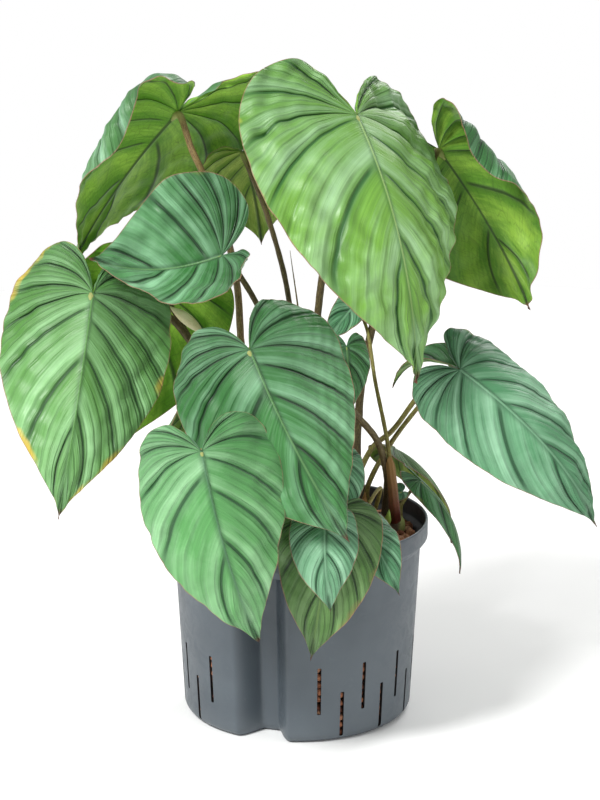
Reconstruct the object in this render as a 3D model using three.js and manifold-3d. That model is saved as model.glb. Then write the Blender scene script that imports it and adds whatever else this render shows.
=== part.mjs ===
// A philodendron in a slotted hydroculture pot: the pot, its clay granules, the creeping stem and,
// for every leaf, a blade and a stalk. Millimetres, +Z up; the origin is the middle of the pot's underside.
// +X is the plant's right and -Y its front.
import * as THREE from 'three';
import { mergeVertices } from 'three/addons/utils/BufferGeometryUtils.js';
import Module from 'manifold-3d';

const wasm = await Module();
wasm.setup();

// ---- driving sizes ----

const GAP = 0.3; // room left between pieces that touch

const POT = {
  height: 190,
  rimRadius: 125,
  rimBand: 17, // height of the upright band round the top
  rimSlope: 8, // height of the sloping step under the band
  bodyTopRadius: 118, // outside, just under the rim
  baseRadius: 109, // outside, where the wall would meet the ground
  baseFillet: 9,
  wall: 2.6,
  floor: 3,
  fluteAzimuth: -108, // direction of the gauge flute, degrees from +X
  fluteDepth: 28,
  fluteHalfWidth: 27, // from its middle to where its shoulders end
  fluteFloor: 18, // width of its flat bottom
};

const SLOT = {
  count: 27,
  width: 3.7,
  besideFlute: 28.5, // degrees from the flute to the first slot on either side
  upper: [29, 76], // lowest and highest point of the upper slots
  lower: [5, 50], // and of the lower ones
};

const GRANULES = {
  belowRim: 12,
  dome: 5, // rise from the wall to the middle
};

const RHIZOME = {
  from: [-34, 16],
  to: [104, 12],
  radius: 13,
  height: -2, // of its centre line, from the granules: it lies half sunk in them
};

const BLADE_THICKNESS = 1.4;

// ---- frame of the plant ----

const granuleLevel = POT.height - GRANULES.belowRim;
const rhizomeTop = RHIZOME.height + RHIZOME.radius; // above the granules

// A point given from the pot's axis, with its height above the granules.
const above = (x, y, z) => new THREE.Vector3(x, y, granuleLevel + z);

// A point near the rim: direction, distance outside the rim and height above it.
function rimPoint(azimuth, outside, height) {
  const angle = THREE.MathUtils.degToRad(azimuth);
  const radius = POT.rimRadius + outside;
  return new THREE.Vector3(radius * Math.cos(angle), radius * Math.sin(angle), POT.height + height);
}

// ---- leaves ----
// base is where the stalk meets the blade, tip is the blade's point. face is the direction of the upper
// side: azimuth and elevation. arch and sweep bow the midrib up and sideways, as shares of its length.
// fold tilts and curl bends the left and right half, lift raises the lobes behind the base, all in
// degrees and positive towards the upper side. twist turns the tip, positive with its right half up.
// lobe is the lobes' length as a share of the blade's.
// stalk lists the points between the rhizome and the base; at is its place on the rhizome and lean
// the side that it leaves on, in degrees from straight up, positive to the back.

const LEAVES = {
  upper_front: {
    base: above(55, -10, 400), tip: above(110, -75, 162), width: 235, face: [-60, 35],
    arch: 0.16, sweep: 0.04, fold: [-10, -5], curl: [-30, -20], lift: [10, 40], lobe: 0.22, twist: 10,
    at: 0.27, lean: 40, radius: [4.6, 3.2],
    stalk: [above(12, 48, 112), above(22, 48, 222), above(40, 32, 342)],
  },
  right_back: {
    base: above(136, 92, 351), tip: above(221, 20, 209), width: 200, face: [90, 30],
    arch: 0.14, sweep: -0.03, fold: [-30, -20], curl: [-60, -130], curlPower: 3,
    lift: [0, 0], lobe: 0.26, twist: 10,
    at: 0.68, lean: 40, radius: [4.8, 3.2],
    stalk: [above(57, 32, 50), above(62, 48, 132), above(76, 50, 202), above(104, 36, 290),
      above(125, 58, 335)],
  },
  right_front: {
    base: above(152, -30, 164), tip: above(285, -20, 7), width: 125, face: [-95, 35],
    arch: 0.18, sweep: -0.02, fold: [-15, -15], curl: [-45, -25], lift: [5, -15], lobe: 0.18, twist: 15,
    at: 0.64, lean: -50, radius: [3.2, 2.2],
    stalk: [above(57, -2, 48), above(72, 2, 80), above(90, 2, 96), above(118, -4, 136),
      above(140, -20, 156)],
  },
  left_front: {
    base: above(-187, -60, 244), tip: above(-216, -140, 52), width: 180, face: [-75, 20],
    arch: 0.04, sweep: 0, fold: [-25, -35], curl: [5, -10], lift: [-35, -20], lobe: 0.3, twist: 0,
    at: 0.14, lean: 0, radius: [4.2, 3],
    stalk: [above(-42, 8, 82), above(-84, 2, 156), above(-119, -2, 207), above(-156, -24, 234)],
  },
  middle_front: {
    base: rimPoint(-108, 12, 196), tip: rimPoint(-74.5, 51, 28), width: 185, face: [-80, 30],
    arch: 0.06, sweep: 0.04, fold: [-10, -25], curl: [-15, -35], lift: [-25, -30], lobe: 0.26, twist: 10,
    at: 0.86, lean: 0, radius: [3.8, 2.8],
    stalk: [above(86, -4, 48), above(76, -16, 90), above(56, -34, 120), above(18, -70, 170)],
  },
  low_front: {
    base: rimPoint(-113, 90, 121), tip: rimPoint(-100.5, 62, -62), width: 150, face: [-95, 25],
    arch: 0.12, sweep: 0.02, fold: [-15, -20], curl: [-30, -30], lift: [5, 5], lobe: 0.15, twist: 15,
    at: 0.16, lean: -50, radius: [3.4, 2.6],
    stalk: [above(-16, -36, 50), above(-34, -92, 66), rimPoint(-112, 36, 56), rimPoint(-113.5, 74, 84)],
  },
  upper_left_back: {
    base: above(-111, 30, 397), tip: above(-213, 20, 254), width: 190, face: [80, 38],
    arch: 0.1, sweep: 0, fold: [-5, 25], curl: [-150, -30], curlPower: 2.5,
    lift: [-70, -10], lobe: 0.42, twist: 40,
    at: 0.05, lean: 40, radius: [4.4, 3],
    stalk: [above(-40, 54, 62), above(-54, 66, 162), above(-58, 58, 226), above(-74, 22, 308),
      above(-98, 14, 364)],
  },
  left_cupped: {
    base: above(-70, -20, 271), tip: above(-190, -60, 277), width: 170, face: [-75, 55],
    arch: -0.14, sweep: 0, fold: [15, 30], curl: [20, 20], lift: [50, 0], lobe: 0.3, twist: 0,
    at: 0.23, lean: 0, radius: [3.8, 2.6],
    stalk: [above(-10, 10, 112), above(-30, 0, 202), above(-58, -12, 256)],
  },
  upper_back: {
    base: above(-52, 70, 353), tip: above(-35, 120, 252), width: 110, face: [85, 45],
    arch: 0.1, sweep: 0, fold: [-15, -15], curl: [-40, -40], lift: [0, 0], lobe: 0.15, twist: 0,
    at: 0.15, lean: 40, radius: [3.4, 2.4],
    stalk: [above(-4, 62, 102), above(-8, 70, 207), above(-30, 68, 295)],
  },
  left_back: {
    base: above(-136, 36, 230), tip: above(-178, -4, 71), width: 165, face: [100, 20],
    arch: 0.05, sweep: 0, fold: [0, 0], curl: [-20, -20], lift: [0, 0], lobe: 0.2, twist: 0,
    at: 0.05, lean: 0, radius: [3.6, 2.6],
    stalk: [above(-62, 18, 96), above(-106, 18, 190)],
  },
  low_left_inner: {
    base: above(-95, -60, 142), tip: above(-130, -80, 54), width: 80, face: [150, 20],
    arch: 0.05, sweep: 0, fold: [0, 0], curl: [-20, -20], lift: [0, 0], lobe: 0.2, twist: 0,
    at: 0.06, lean: -50, radius: [2.4, 1.8],
    stalk: [above(-42, -28, 74), above(-76, -50, 124)],
  },
  inner_back_small: {
    base: above(57, 60, 207), tip: above(25, 30, 174), width: 35, face: [-60, 50],
    arch: 0.1, sweep: 0, fold: [10, 10], curl: [20, 20], lift: [0, 0], lobe: 0.2, twist: 0,
    at: 0.92, lean: -45, radius: [2.8, 1.6],
    stalk: [above(92, -12, 26), above(86, -10, 84), above(74, 12, 142), above(66, 50, 186)],
  },
  inner_front_small: {
    base: above(46, -20, 184), tip: above(49, -30, 122), width: 45, face: [-80, 10],
    arch: 0.1, sweep: 0, fold: [0, 0], curl: [-30, -30], lift: [0, 0], lobe: 0.2, twist: 0,
    at: 0.5, lean: 0, radius: [2.4, 1.6],
    stalk: [above(38, 2, 92), above(44, -10, 162)],
  },
  rim_front_inner: {
    base: rimPoint(-67, -22, 84), tip: rimPoint(-69, -4, 30), width: 46, face: [-78, 24],
    arch: 0.1, sweep: 0, fold: [0, 0], curl: [-30, -30], lift: [0, 0], lobe: 0.2, twist: 0,
    at: 0.48, lean: -50, radius: [2.4, 1.6],
    stalk: [above(44, -34, 56), above(41, -70, 90)],
  },
  rim_front: {
    base: rimPoint(-76, 14, 44), tip: rimPoint(-85.5, 30, -90), width: 100, face: [-90, 20],
    arch: 0.12, sweep: 0, fold: [-5, -5], curl: [-30, -20], lift: [0, 0], lobe: 0.14, twist: -10,
    at: 0.37, lean: -50, radius: [2.8, 2],
    stalk: [above(20, -40, 50), above(12, -88, 78), rimPoint(-79.5, -3, 62)],
  },
  rim_front_small: {
    base: rimPoint(-80.5, 26, 41), tip: rimPoint(-80, 48, -38), width: 65, face: [-85, 20],
    arch: 0.1, sweep: 0.03, fold: [0, 0], curl: [-30, -30], lift: [0, 0], lobe: 0.2, twist: 0,
    at: 0.27, lean: -50, radius: [2.4, 1.8],
    stalk: [above(0, -40, 66), above(-6, -90, 108), rimPoint(-86.5, 3, 72)],
  },
  rim_front_right: {
    base: rimPoint(-60, -4, 24), tip: rimPoint(-56, 42, -33), width: 50, face: [-80, 30],
    arch: 0.12, sweep: 0, fold: [0, 0], curl: [-30, -30], lift: [0, 0], lobe: 0.2, twist: 0,
    at: 0.77, lean: -50, radius: [2.4, 1.6],
    stalk: [above(78, -48, 54), above(70, -76, 54), rimPoint(-56, -16, 28)],
  },
  rim_right_back: {
    base: rimPoint(36, -7, 48), tip: rimPoint(33, 59, -60), width: 50, face: [60, 50],
    arch: 0.15, sweep: 0, fold: [-30, -30], curl: [-30, -30], lift: [0, 0], lobe: 0.2, twist: 0,
    at: 0.86, lean: 40, radius: [2.2, 1.6],
    stalk: [above(86, 46, 34)],
  },
  rim_right: {
    base: rimPoint(17, 0, 24), tip: rimPoint(18, 43, -76), width: 34, face: [-32, 50],
    arch: 0.13, sweep: 0, fold: [-20, -20], curl: [-20, -20], lift: [0, 0], lobe: 0.2, twist: 0,
    at: 0.97, lean: 35, radius: [2, 1.5],
    stalk: [above(102, 30, 16)],
  },
  inner_right: {
    base: above(150, 20, 155), tip: above(92, 60, 123), width: 45, face: [-60, 70],
    arch: 0.2, sweep: 0, fold: [20, 20], curl: [20, 20], lift: [0, 0], lobe: 0.2, twist: 0,
    at: 0.74, lean: 0, radius: [3, 2],
    stalk: [above(67, 6, 38), above(88, 8, 80), above(120, 14, 122)],
  },
  crown_small: {
    base: above(101, 20, rhizomeTop + 19), tip: above(82, 23, rhizomeTop + 5), width: 20, face: [-70, 50],
    arch: 0.1, sweep: 0, fold: [10, 10], curl: [10, 10], lift: [0, 0], lobe: 0.2, twist: 0,
    at: 0.95, lean: 0, radius: [1.6, 1.2],
    stalk: [above(102, 17, rhizomeTop + 11)],
  },
};

// Half of a blade's outline from tip to base: share of the half width, share of the length. The last
// points go round the lobe behind the base.
const OUTLINE = [
  [0, 1], [0.035, 0.955], [0.11, 0.9], [0.32, 0.79], [0.6, 0.645], [0.83, 0.48], [0.97, 0.3],
  [1, 0.12], [0.95, -0.05], [0.81, -0.18], [0.59, -0.25], [0.36, -0.26], [0.15, -0.165], [0, 0],
].map(([x, y]) => new THREE.Vector2(x, y));
const OUTLINE_LOBE = 0.26; // the lobes' length in this outline

const BASAL_VEINS = 0.5; // share of the margin reached by veins that leave the midrib
const VEIN_SPACING = 1.15; // power that sets how the veins leave the midrib
const VEIN_BOW = 0.16; // how far a vein bows forward, as a share of its length

// ---- helpers ----

const smoothEnd = (value, steps) => Math.min(1, value * steps);

function catmull(points, share) {
  const place = THREE.MathUtils.clamp(share, 0, 1) * (points.length - 1);
  const i = Math.min(Math.floor(place), points.length - 2);
  const w = place - i;
  const [a, b, c, d] = [i - 1, i, i + 1, i + 2].map(
    (k) => points[THREE.MathUtils.clamp(k, 0, points.length - 1)]);
  const blend = (p, q, r, s) =>
    0.5 * (2 * q + (r - p) * w + (2 * p - 5 * q + 4 * r - s) * w * w + (3 * q - p - 3 * r + s) * w ** 3);
  return new THREE.Vector2(blend(a.x, b.x, c.x, d.x), blend(a.y, b.y, c.y, d.y));
}

// The geometry of an indexed triangle list.
function indexed(points, triangles) {
  const geometry = new THREE.BufferGeometry();
  geometry.setAttribute('position', new THREE.Float32BufferAttribute(points.flatMap((p) => p.toArray()), 3));
  geometry.setIndex(triangles.flat());
  return geometry;
}

// A closed solid from a sheet: the sheet's two sides, half the thickness apart from it, and its edge.
function thicken(points, triangles, thickness) {
  const sheet = indexed(points, triangles);
  sheet.computeVertexNormals();
  const normal = sheet.getAttribute('normal');
  const offset = (sign) => points.map((p, i) =>
    new THREE.Vector3().fromBufferAttribute(normal, i).multiplyScalar(sign * thickness / 2).add(p));
  const n = points.length;
  const faces = [...triangles, ...triangles.map(([a, b, c]) => [a + n, c + n, b + n])];
  const edges = new Set(triangles.flatMap(([a, b, c]) => [`${a},${b}`, `${b},${c}`, `${c},${a}`]));
  for (const edge of edges) {
    const [a, b] = edge.split(',').map(Number);
    if (edges.has(`${b},${a}`)) continue;
    faces.push([b, a, a + n], [b, a + n, b + n]);
  }
  return indexed([...offset(1), ...offset(-1)], faces);
}

// A round closed bar along a curve, with its radius given as a function of the way along.
function bar(points, radiusAt, sides, steps) {
  const curve = new THREE.CatmullRomCurve3(points, false, 'centripetal');
  const frames = curve.computeFrenetFrames(steps, false);
  const vertices = [];
  const faces = [];
  for (let i = 0; i <= steps; i++) {
    const centre = curve.getPointAt(i / steps);
    const radius = radiusAt(i / steps);
    for (let j = 0; j < sides; j++) {
      const angle = (2 * Math.PI * j) / sides;
      vertices.push(centre.clone()
        .addScaledVector(frames.normals[i], radius * Math.cos(angle))
        .addScaledVector(frames.binormals[i], radius * Math.sin(angle)));
      const next = (j + 1) % sides;
      if (i < steps) {
        const [a, b, c, d] = [i * sides + j, i * sides + next, (i + 1) * sides + j, (i + 1) * sides + next];
        faces.push([a, b, d], [a, d, c]);
      }
    }
  }
  for (const [ring, turned] of [[0, true], [steps, false]]) {
    const centre = vertices.push(curve.getPointAt(ring / steps)) - 1;
    for (let j = 0; j < sides; j++) {
      const [a, b] = [ring * sides + j, ring * sides + ((j + 1) % sides)];
      faces.push(turned ? [centre, b, a] : [centre, a, b]);
    }
  }
  return indexed(vertices, faces);
}

function toSolid(geometry) {
  const bare = geometry.clone();
  bare.deleteAttribute('normal');
  bare.deleteAttribute('uv');
  const merged = mergeVertices(bare, 1e-4);
  return new wasm.Manifold(new wasm.Mesh({
    numProp: 3,
    vertProperties: new Float32Array(merged.getAttribute('position').array),
    triVerts: new Uint32Array(merged.getIndex().array),
  }));
}

function toGeometry(solid) {
  const mesh = solid.getMesh();
  const geometry = new THREE.BufferGeometry();
  geometry.setAttribute('position', new THREE.BufferAttribute(new Float32Array(mesh.vertProperties), 3));
  geometry.setIndex(new THREE.BufferAttribute(new Uint32Array(mesh.triVerts), 1));
  return geometry;
}

const group = new THREE.Group();

function addPiece(name, geometry, finish) {
  geometry.computeVertexNormals();
  const mesh = new THREE.Mesh(geometry, new THREE.MeshStandardMaterial(finish));
  mesh.name = name;
  group.add(mesh);
}

// ---- pot ----

const SLATE_PLASTIC = { color: 0x5a6168, roughness: 0.45, metalness: 0 };
const FIRED_CLAY = { color: 0x6e4a38, roughness: 0.95, metalness: 0 };

const fluteAngle = THREE.MathUtils.degToRad(POT.fluteAzimuth);
const rimFoot = POT.height - POT.rimBand - POT.rimSlope;
const rimRun = POT.rimRadius - POT.bodyTopRadius;
const openTop = POT.height + 1; // above the rim, where the cut for the inside ends

// The ledge inside the rim starts as far above the outside's step as keeps it as thick as the wall,
// measured square to its slope.
const ledgeFoot = rimFoot + (POT.wall * (Math.hypot(rimRun, POT.rimSlope) - POT.rimSlope)) / rimRun;

// Height at which the granules meet the wall.
const granuleEdge = granuleLevel - GRANULES.dome;

// Outside radius of the wall below the rim, away from the flute.
const bodyRadius = (z) => THREE.MathUtils.mapLinear(z, 0, rimFoot, POT.baseRadius, POT.bodyTopRadius);

// How far the flute sinks in at this direction, at a full share of its depth.
function fluteDepthAt(angle) {
  const turn = Math.atan2(Math.sin(angle - fluteAngle), Math.cos(angle - fluteAngle));
  const beyondFloor = Math.abs(turn) * POT.baseRadius - POT.fluteFloor / 2;
  const side = THREE.MathUtils.clamp(beyondFloor / (POT.fluteHalfWidth - POT.fluteFloor / 2), 0, 1);
  return POT.fluteDepth * 0.5 * (1 + Math.cos(Math.PI * side));
}

// Directions round the pot, closer together across the flute.
function potDirections() {
  const fluteSpan = POT.fluteHalfWidth / POT.baseRadius;
  const acrossFlute = 12;
  const elsewhere = 50;
  const list = [];
  for (let i = 0; i < acrossFlute; i++) list.push(-fluteSpan + (2 * fluteSpan * i) / acrossFlute);
  const rest = 2 * Math.PI - 2 * fluteSpan;
  for (let i = 0; i < elsewhere; i++) list.push(fluteSpan + (rest * i) / elsewhere);
  return list.map((angle) => fluteAngle + angle);
}

// A closed shell swept round the axis. Each profile point is [radius, height, share of the flute]; the
// first and last points are on the axis.
function fluted(profile) {
  const directions = potDirections();
  const n = directions.length;
  const inner = profile.slice(1, -1);
  const vertices = [new THREE.Vector3(0, 0, profile[0][1]), new THREE.Vector3(0, 0, profile.at(-1)[1])];
  const faces = [];
  inner.forEach(([radius, z, share], row) => directions.forEach((angle, i) => {
    const r = radius - share * fluteDepthAt(angle);
    vertices.push(new THREE.Vector3(r * Math.cos(angle), r * Math.sin(angle), z));
    const here = 2 + row * n + i;
    const next = 2 + row * n + ((i + 1) % n);
    if (row === 0) faces.push([0, next, here]);
    else faces.push([here - n, next - n, next], [here - n, next, here]);
    if (row === inner.length - 1) faces.push([here, next, 1]);
  }));
  return indexed(vertices, faces);
}

function potOutline() {
  const fillet = [0, 30, 60, 90].map((degrees) => {
    const angle = THREE.MathUtils.degToRad(degrees);
    const z = POT.baseFillet * (1 - Math.cos(angle));
    return [bodyRadius(z) - POT.baseFillet * (1 - Math.sin(angle)), z, 1];
  });
  return [
    [0, 0, 1], ...fillet, [bodyRadius(rimFoot), rimFoot, 1], [bodyRadius(rimFoot), rimFoot, 0],
    [POT.rimRadius, rimFoot + POT.rimSlope, 0], [POT.rimRadius, POT.height, 0],
  ];
}

// A point of the inside wall above the floor's corner; with room, of the side of what fills the pot.
function wallInside(z, room) {
  const ledge = THREE.MathUtils.clamp((z - ledgeFoot) / POT.rimSlope, 0, 1);
  return [bodyRadius(Math.min(z, rimFoot)) + rimRun * ledge - POT.wall - room, z, 1 - ledge];
}

// The inside, from the floor up to one of its rings; with room, the outline of what fills the pot instead.
// The wall and the filling both have a ring where the granules' edge meets the wall.
function potInside(room, top) {
  const fillet = POT.baseFillet - POT.wall;
  const floor = POT.floor + room;
  const corner = [0, 45, 90].map((degrees) => {
    const angle = THREE.MathUtils.degToRad(degrees);
    const z = floor + fillet * (1 - Math.cos(angle));
    return [bodyRadius(z) - POT.wall - room - fillet * (1 - Math.sin(angle)), z, 1];
  });
  const rings = [...new Set([ledgeFoot, ledgeFoot + POT.rimSlope, granuleEdge, openTop])]
    .filter((z) => z <= top).sort((low, high) => low - high);
  return [[0, floor, 1], ...corner, ...rings.map((z) => wallInside(z, room))];
}

function slotCutters() {
  const cutters = [];
  const step = (360 - 2 * SLOT.besideFlute) / (SLOT.count - 1);
  for (let i = 0; i < SLOT.count; i++) {
    const [low, high] = i % 2 === 0 ? SLOT.upper : SLOT.lower;
    const angle = fluteAngle + THREE.MathUtils.degToRad(SLOT.besideFlute + i * step);
    const reach = 4 * POT.wall + POT.baseFillet;
    const cutter = new THREE.BoxGeometry(reach, SLOT.width, high - low);
    cutter.translate(bodyRadius(low) - reach / 2 + 2 * POT.wall, 0, (low + high) / 2);
    cutter.rotateZ(angle);
    cutters.push(toSolid(cutter));
  }
  return cutters;
}

function makePot() {
  const inside = fluted([...potInside(0, openTop), [0, openTop, 0]]);
  const outside = fluted([...potOutline(), [0, POT.height, 0]]);
  let pot = toSolid(outside).subtract(toSolid(inside));
  for (const cutter of slotCutters()) pot = pot.subtract(cutter);
  addPiece('pot', toGeometry(pot), SLATE_PLASTIC);
}

// ---- stem ----

const GREEN_BROWN_STEM = { color: 0x5c4a35, roughness: 0.7, metalness: 0 };

const rhizomePoint = (share) => new THREE.Vector3(
  THREE.MathUtils.lerp(RHIZOME.from[0], RHIZOME.to[0], share),
  THREE.MathUtils.lerp(RHIZOME.from[1], RHIZOME.to[1], share),
  granuleLevel + RHIZOME.height);

// The rhizome, swollen at each leaf scar and round at its ends; grown adds room on every side.
function rhizomeGeometry(grown) {
  const scars = 9;
  const roundEnd = 0.08;
  const radiusAt = (share) => {
    const end = Math.min(share, 1 - share) / roundEnd;
    const cap = end < 1 ? Math.sqrt(1 - (1 - end) ** 2) * 0.75 + 0.25 : 1;
    return RHIZOME.radius * cap * (1 + 0.05 * Math.sin(2 * Math.PI * scars * share)) + grown;
  };
  const extra = grown / rhizomePoint(0).distanceTo(rhizomePoint(1));
  return bar([rhizomePoint(-extra), rhizomePoint(0.5), rhizomePoint(1 + extra)], radiusAt, 12, 24);
}

// ---- blades and stalks ----

const UPPER_SIDE_GREEN = { color: 0x5f8f5c, roughness: 0.5, metalness: 0 };
const STALK_OLIVE = { color: 0x5d6136, roughness: 0.55, metalness: 0 };

// A blade's frame at its base: along the chord, up from the upper side, and to its right.
function bladeFrame(leaf) {
  const chord = leaf.tip.clone().sub(leaf.base);
  const length = chord.length();
  const along = chord.normalize();
  const [azimuth, elevation] = leaf.face.map(THREE.MathUtils.degToRad);
  const face = new THREE.Vector3(
    Math.cos(azimuth) * Math.cos(elevation), Math.sin(azimuth) * Math.cos(elevation), Math.sin(elevation));
  const up = face.addScaledVector(along, -face.dot(along)).normalize();
  const right = along.clone().cross(up);
  const bow = leaf.base.clone().lerp(leaf.tip, 0.5)
    .addScaledVector(up, 2 * leaf.arch * length)
    .addScaledVector(right, 2 * leaf.sweep * length);
  return { length, up, right, bow };
}

// Where on the flat blade the vein u (0 at the tip, 1 at the sinus) is at v (0 midrib, 1 margin).
function flatPoint(u, v, leaf, length) {
  const margin = catmull(OUTLINE, u);
  if (margin.y < 0) margin.y *= leaf.lobe / OUTLINE_LOBE;
  const start = new THREE.Vector2(0, Math.max(0, 1 - u / BASAL_VEINS) ** VEIN_SPACING);
  const aspect = leaf.width / 2 / length;
  const run = margin.clone().sub(start);
  const bow = VEIN_BOW * smoothEnd(u, 6) * Math.max(0.15, smoothEnd(1 - u, 4));
  const control = start.clone().add(margin).multiplyScalar(0.5)
    .add(new THREE.Vector2((run.y * bow) / aspect, -run.x * aspect * bow));
  return start.multiplyScalar((1 - v) ** 2)
    .addScaledVector(control, 2 * v * (1 - v))
    .addScaledVector(margin, v * v);
}

// A point of the blade; side is 1 for its right half and -1 for its left.
function bladePoint(u, v, side, leaf) {
  const { length, up, bow } = bladeFrame(leaf);
  const half = side > 0 ? 1 : 0;
  const flat = flatPoint(u, v, leaf, length);
  const x = (flat.x * leaf.width) / 2;
  const y = THREE.MathUtils.clamp(flat.y, 0, 1);
  const point = new THREE.QuadraticBezierCurve3(leaf.base, bow, leaf.tip).getPoint(y);
  const tangent = bow.clone().sub(leaf.base).multiplyScalar(1 - y)
    .add(leaf.tip.clone().sub(bow).multiplyScalar(y)).normalize();
  let normal = up.clone().addScaledVector(tangent, -up.dot(tangent)).normalize();
  if (flat.y < 0) {
    const back = -flat.y * length;
    const lift = THREE.MathUtils.degToRad(leaf.lift[half]) || 1e-6;
    const bendRate = lift / (leaf.lobe * length);
    const turned = bendRate * back;
    point.addScaledVector(tangent, -Math.sin(turned) / bendRate);
    point.addScaledVector(normal, (1 - Math.cos(turned)) / bendRate);
    const lifted = normal.clone().multiplyScalar(Math.cos(turned)).addScaledVector(tangent, Math.sin(turned));
    tangent.multiplyScalar(Math.cos(turned)).addScaledVector(normal, -Math.sin(turned));
    normal = lifted;
  }
  normal.applyAxisAngle(tangent, -THREE.MathUtils.degToRad(leaf.twist) * y);
  const across = tangent.clone().cross(normal);
  const fold = THREE.MathUtils.degToRad(leaf.fold[half]);
  const curl = THREE.MathUtils.degToRad(leaf.curl[half]);
  const flatter = 1 - 0.5 * y * y; // the tip is flatter than the middle
  const pieces = 8;
  const step = Math.abs(x) / pieces;
  for (let i = 0; i < pieces; i++) {
    const reach = (step * (i + 0.5)) / (leaf.width / 2);
    const slope = (fold + curl * reach ** (leaf.curlPower ?? 1)) * flatter;
    point.addScaledVector(across, side * step * Math.cos(slope));
    point.addScaledVector(normal, step * Math.sin(slope));
  }
  return point;
}

// The blade as a solid: veins from tip to sinus by points along each vein, on both halves.
function bladeGeometry(leaf, thickness) {
  const veins = leaf.width > 100 ? 9 : 7;
  const along = leaf.width > 60 ? 3 : 2;
  const points = [];
  const seen = new Map();
  const vertex = (side, i, j) => {
    const u = i / veins;
    let key = `${side},${i},${j}`;
    if (i === 0) key = 'tip';
    else if (i === veins || (j === 0 && u >= BASAL_VEINS)) key = 'base';
    else if (j === 0) key = `rib,${i}`;
    if (!seen.has(key)) {
      const place = key === 'tip' ? [0, 1] : key === 'base' ? [1, 0] : [u, j / along];
      seen.set(key, points.push(bladePoint(...place, side, leaf)) - 1);
    }
    return seen.get(key);
  };
  const faces = [];
  for (const side of [1, -1]) {
    for (let i = 0; i < veins; i++) {
      for (let j = 0; j < along; j++) {
        const [a, b, c, d] = [vertex(side, i, j), vertex(side, i + 1, j),
          vertex(side, i, j + 1), vertex(side, i + 1, j + 1)];
        for (const [p, q, r] of [[a, b, d], [a, d, c]]) {
          if (p !== q && q !== r && r !== p) faces.push(side > 0 ? [p, q, r] : [p, r, q]);
        }
      }
    }
  }
  return thicken(points, faces, thickness);
}

// The stalk's route: out of the rhizome's axis on its own side, through the leaf's points, and up to the
// underside of the blade.
function stalkRoute(leaf) {
  const { up, bow } = bladeFrame(leaf);
  const tangent = bow.clone().sub(leaf.base).normalize();
  const normal = up.clone().addScaledVector(tangent, -up.dot(tangent)).normalize();
  const end = leaf.base.clone()
    .addScaledVector(normal, -(BLADE_THICKNESS / 2 + GAP + 1.2 * leaf.radius[1]));
  return [...rhizomeExit(leaf), ...leaf.stalk, end];
}

// Leaves the rhizome's axis on its own side, so that what grows from it starts inside.
function rhizomeExit({ at, lean }) {
  const angle = THREE.MathUtils.degToRad(lean);
  const start = rhizomePoint(at);
  const out = new THREE.Vector3(0, Math.sin(angle), Math.cos(angle)).multiplyScalar(RHIZOME.radius * 1.5);
  return [start, start.clone().add(out)];
}

function makeLeaf(name, leaf, rhizomeRoom) {
  addPiece(`blade_${name}`, bladeGeometry(leaf, BLADE_THICKNESS), UPPER_SIDE_GREEN);
  const radiusAt = (share) => THREE.MathUtils.lerp(leaf.radius[0], leaf.radius[1], share ** 0.6);
  const stalk = toSolid(bar(stalkRoute(leaf), radiusAt, 6, 5 + 2 * leaf.stalk.length))
    .subtract(rhizomeRoom)
    .subtract(toSolid(bladeGeometry(leaf, BLADE_THICKNESS + 2 * GAP)));
  addPiece(`stalk_${name}`, toGeometry(stalk), STALK_OLIVE);
}

// ---- shoots and sheaths ----

const RED_BROWN_SHEATH = { color: 0x7a3b2a, roughness: 0.6, metalness: 0 };
const DRY_CREAM = { color: 0xd8cda0, roughness: 0.8, metalness: 0 };

// A bud, a rolled young leaf or a spike: thin at both ends, fattest at fullest (a share of its length).
function spindle(points, radius, fullest, steps) {
  const end = 0.25;
  return bar(points, (share) => {
    const swell = share < fullest ? share / fullest : (1 - share) / (1 - fullest);
    return radius * (end + (1 - end) * Math.sin((swell * Math.PI) / 2));
  }, 8, steps);
}

const SHOOTS = {
  red_bud: { at: 0.68, lean: -67, radius: 5, fullest: 0.55, finish: RED_BROWN_SHEATH,
    points: [above(62, -12, 12), above(64, -22, 42)] },
  lime_shoot: { at: 0.86, lean: -68, radius: 3.6, fullest: 0.6, finish: UPPER_SIDE_GREEN,
    points: [above(86, -18, 14), above(87, -26, 26)] },
  dried_cataphyll: { at: 0.21, lean: 40, radius: 2.2, fullest: 0.15, finish: RED_BROWN_SHEATH,
    points: [above(4, 52, 100), above(3, 50, 180), above(-7, 45, 262)] },
};

// A young leaf still rolled up, on its own thin stalk.
const YOUNG_LEAF = {
  at: 0.095, lean: 0, stalkRadius: 1.6, rollRadius: 5.5,
  stalk: [above(-49, -6, 88), above(-76, -14, 150), above(-88, -9, 194)],
  roll: [above(-104, -10, 208), above(-119, -11, 220)],
};

// The papery sheath round the foot of one stalk, open at the back and drawn out to a free tip.
const CATAPHYLL = {
  on: 'inner_back_small', from: 0.07, to: 0.36, footRadius: 6.2, topRadius: 3.6, wrap: 150,
};
const CATAPHYLL_THICKNESS = 1;

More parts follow.
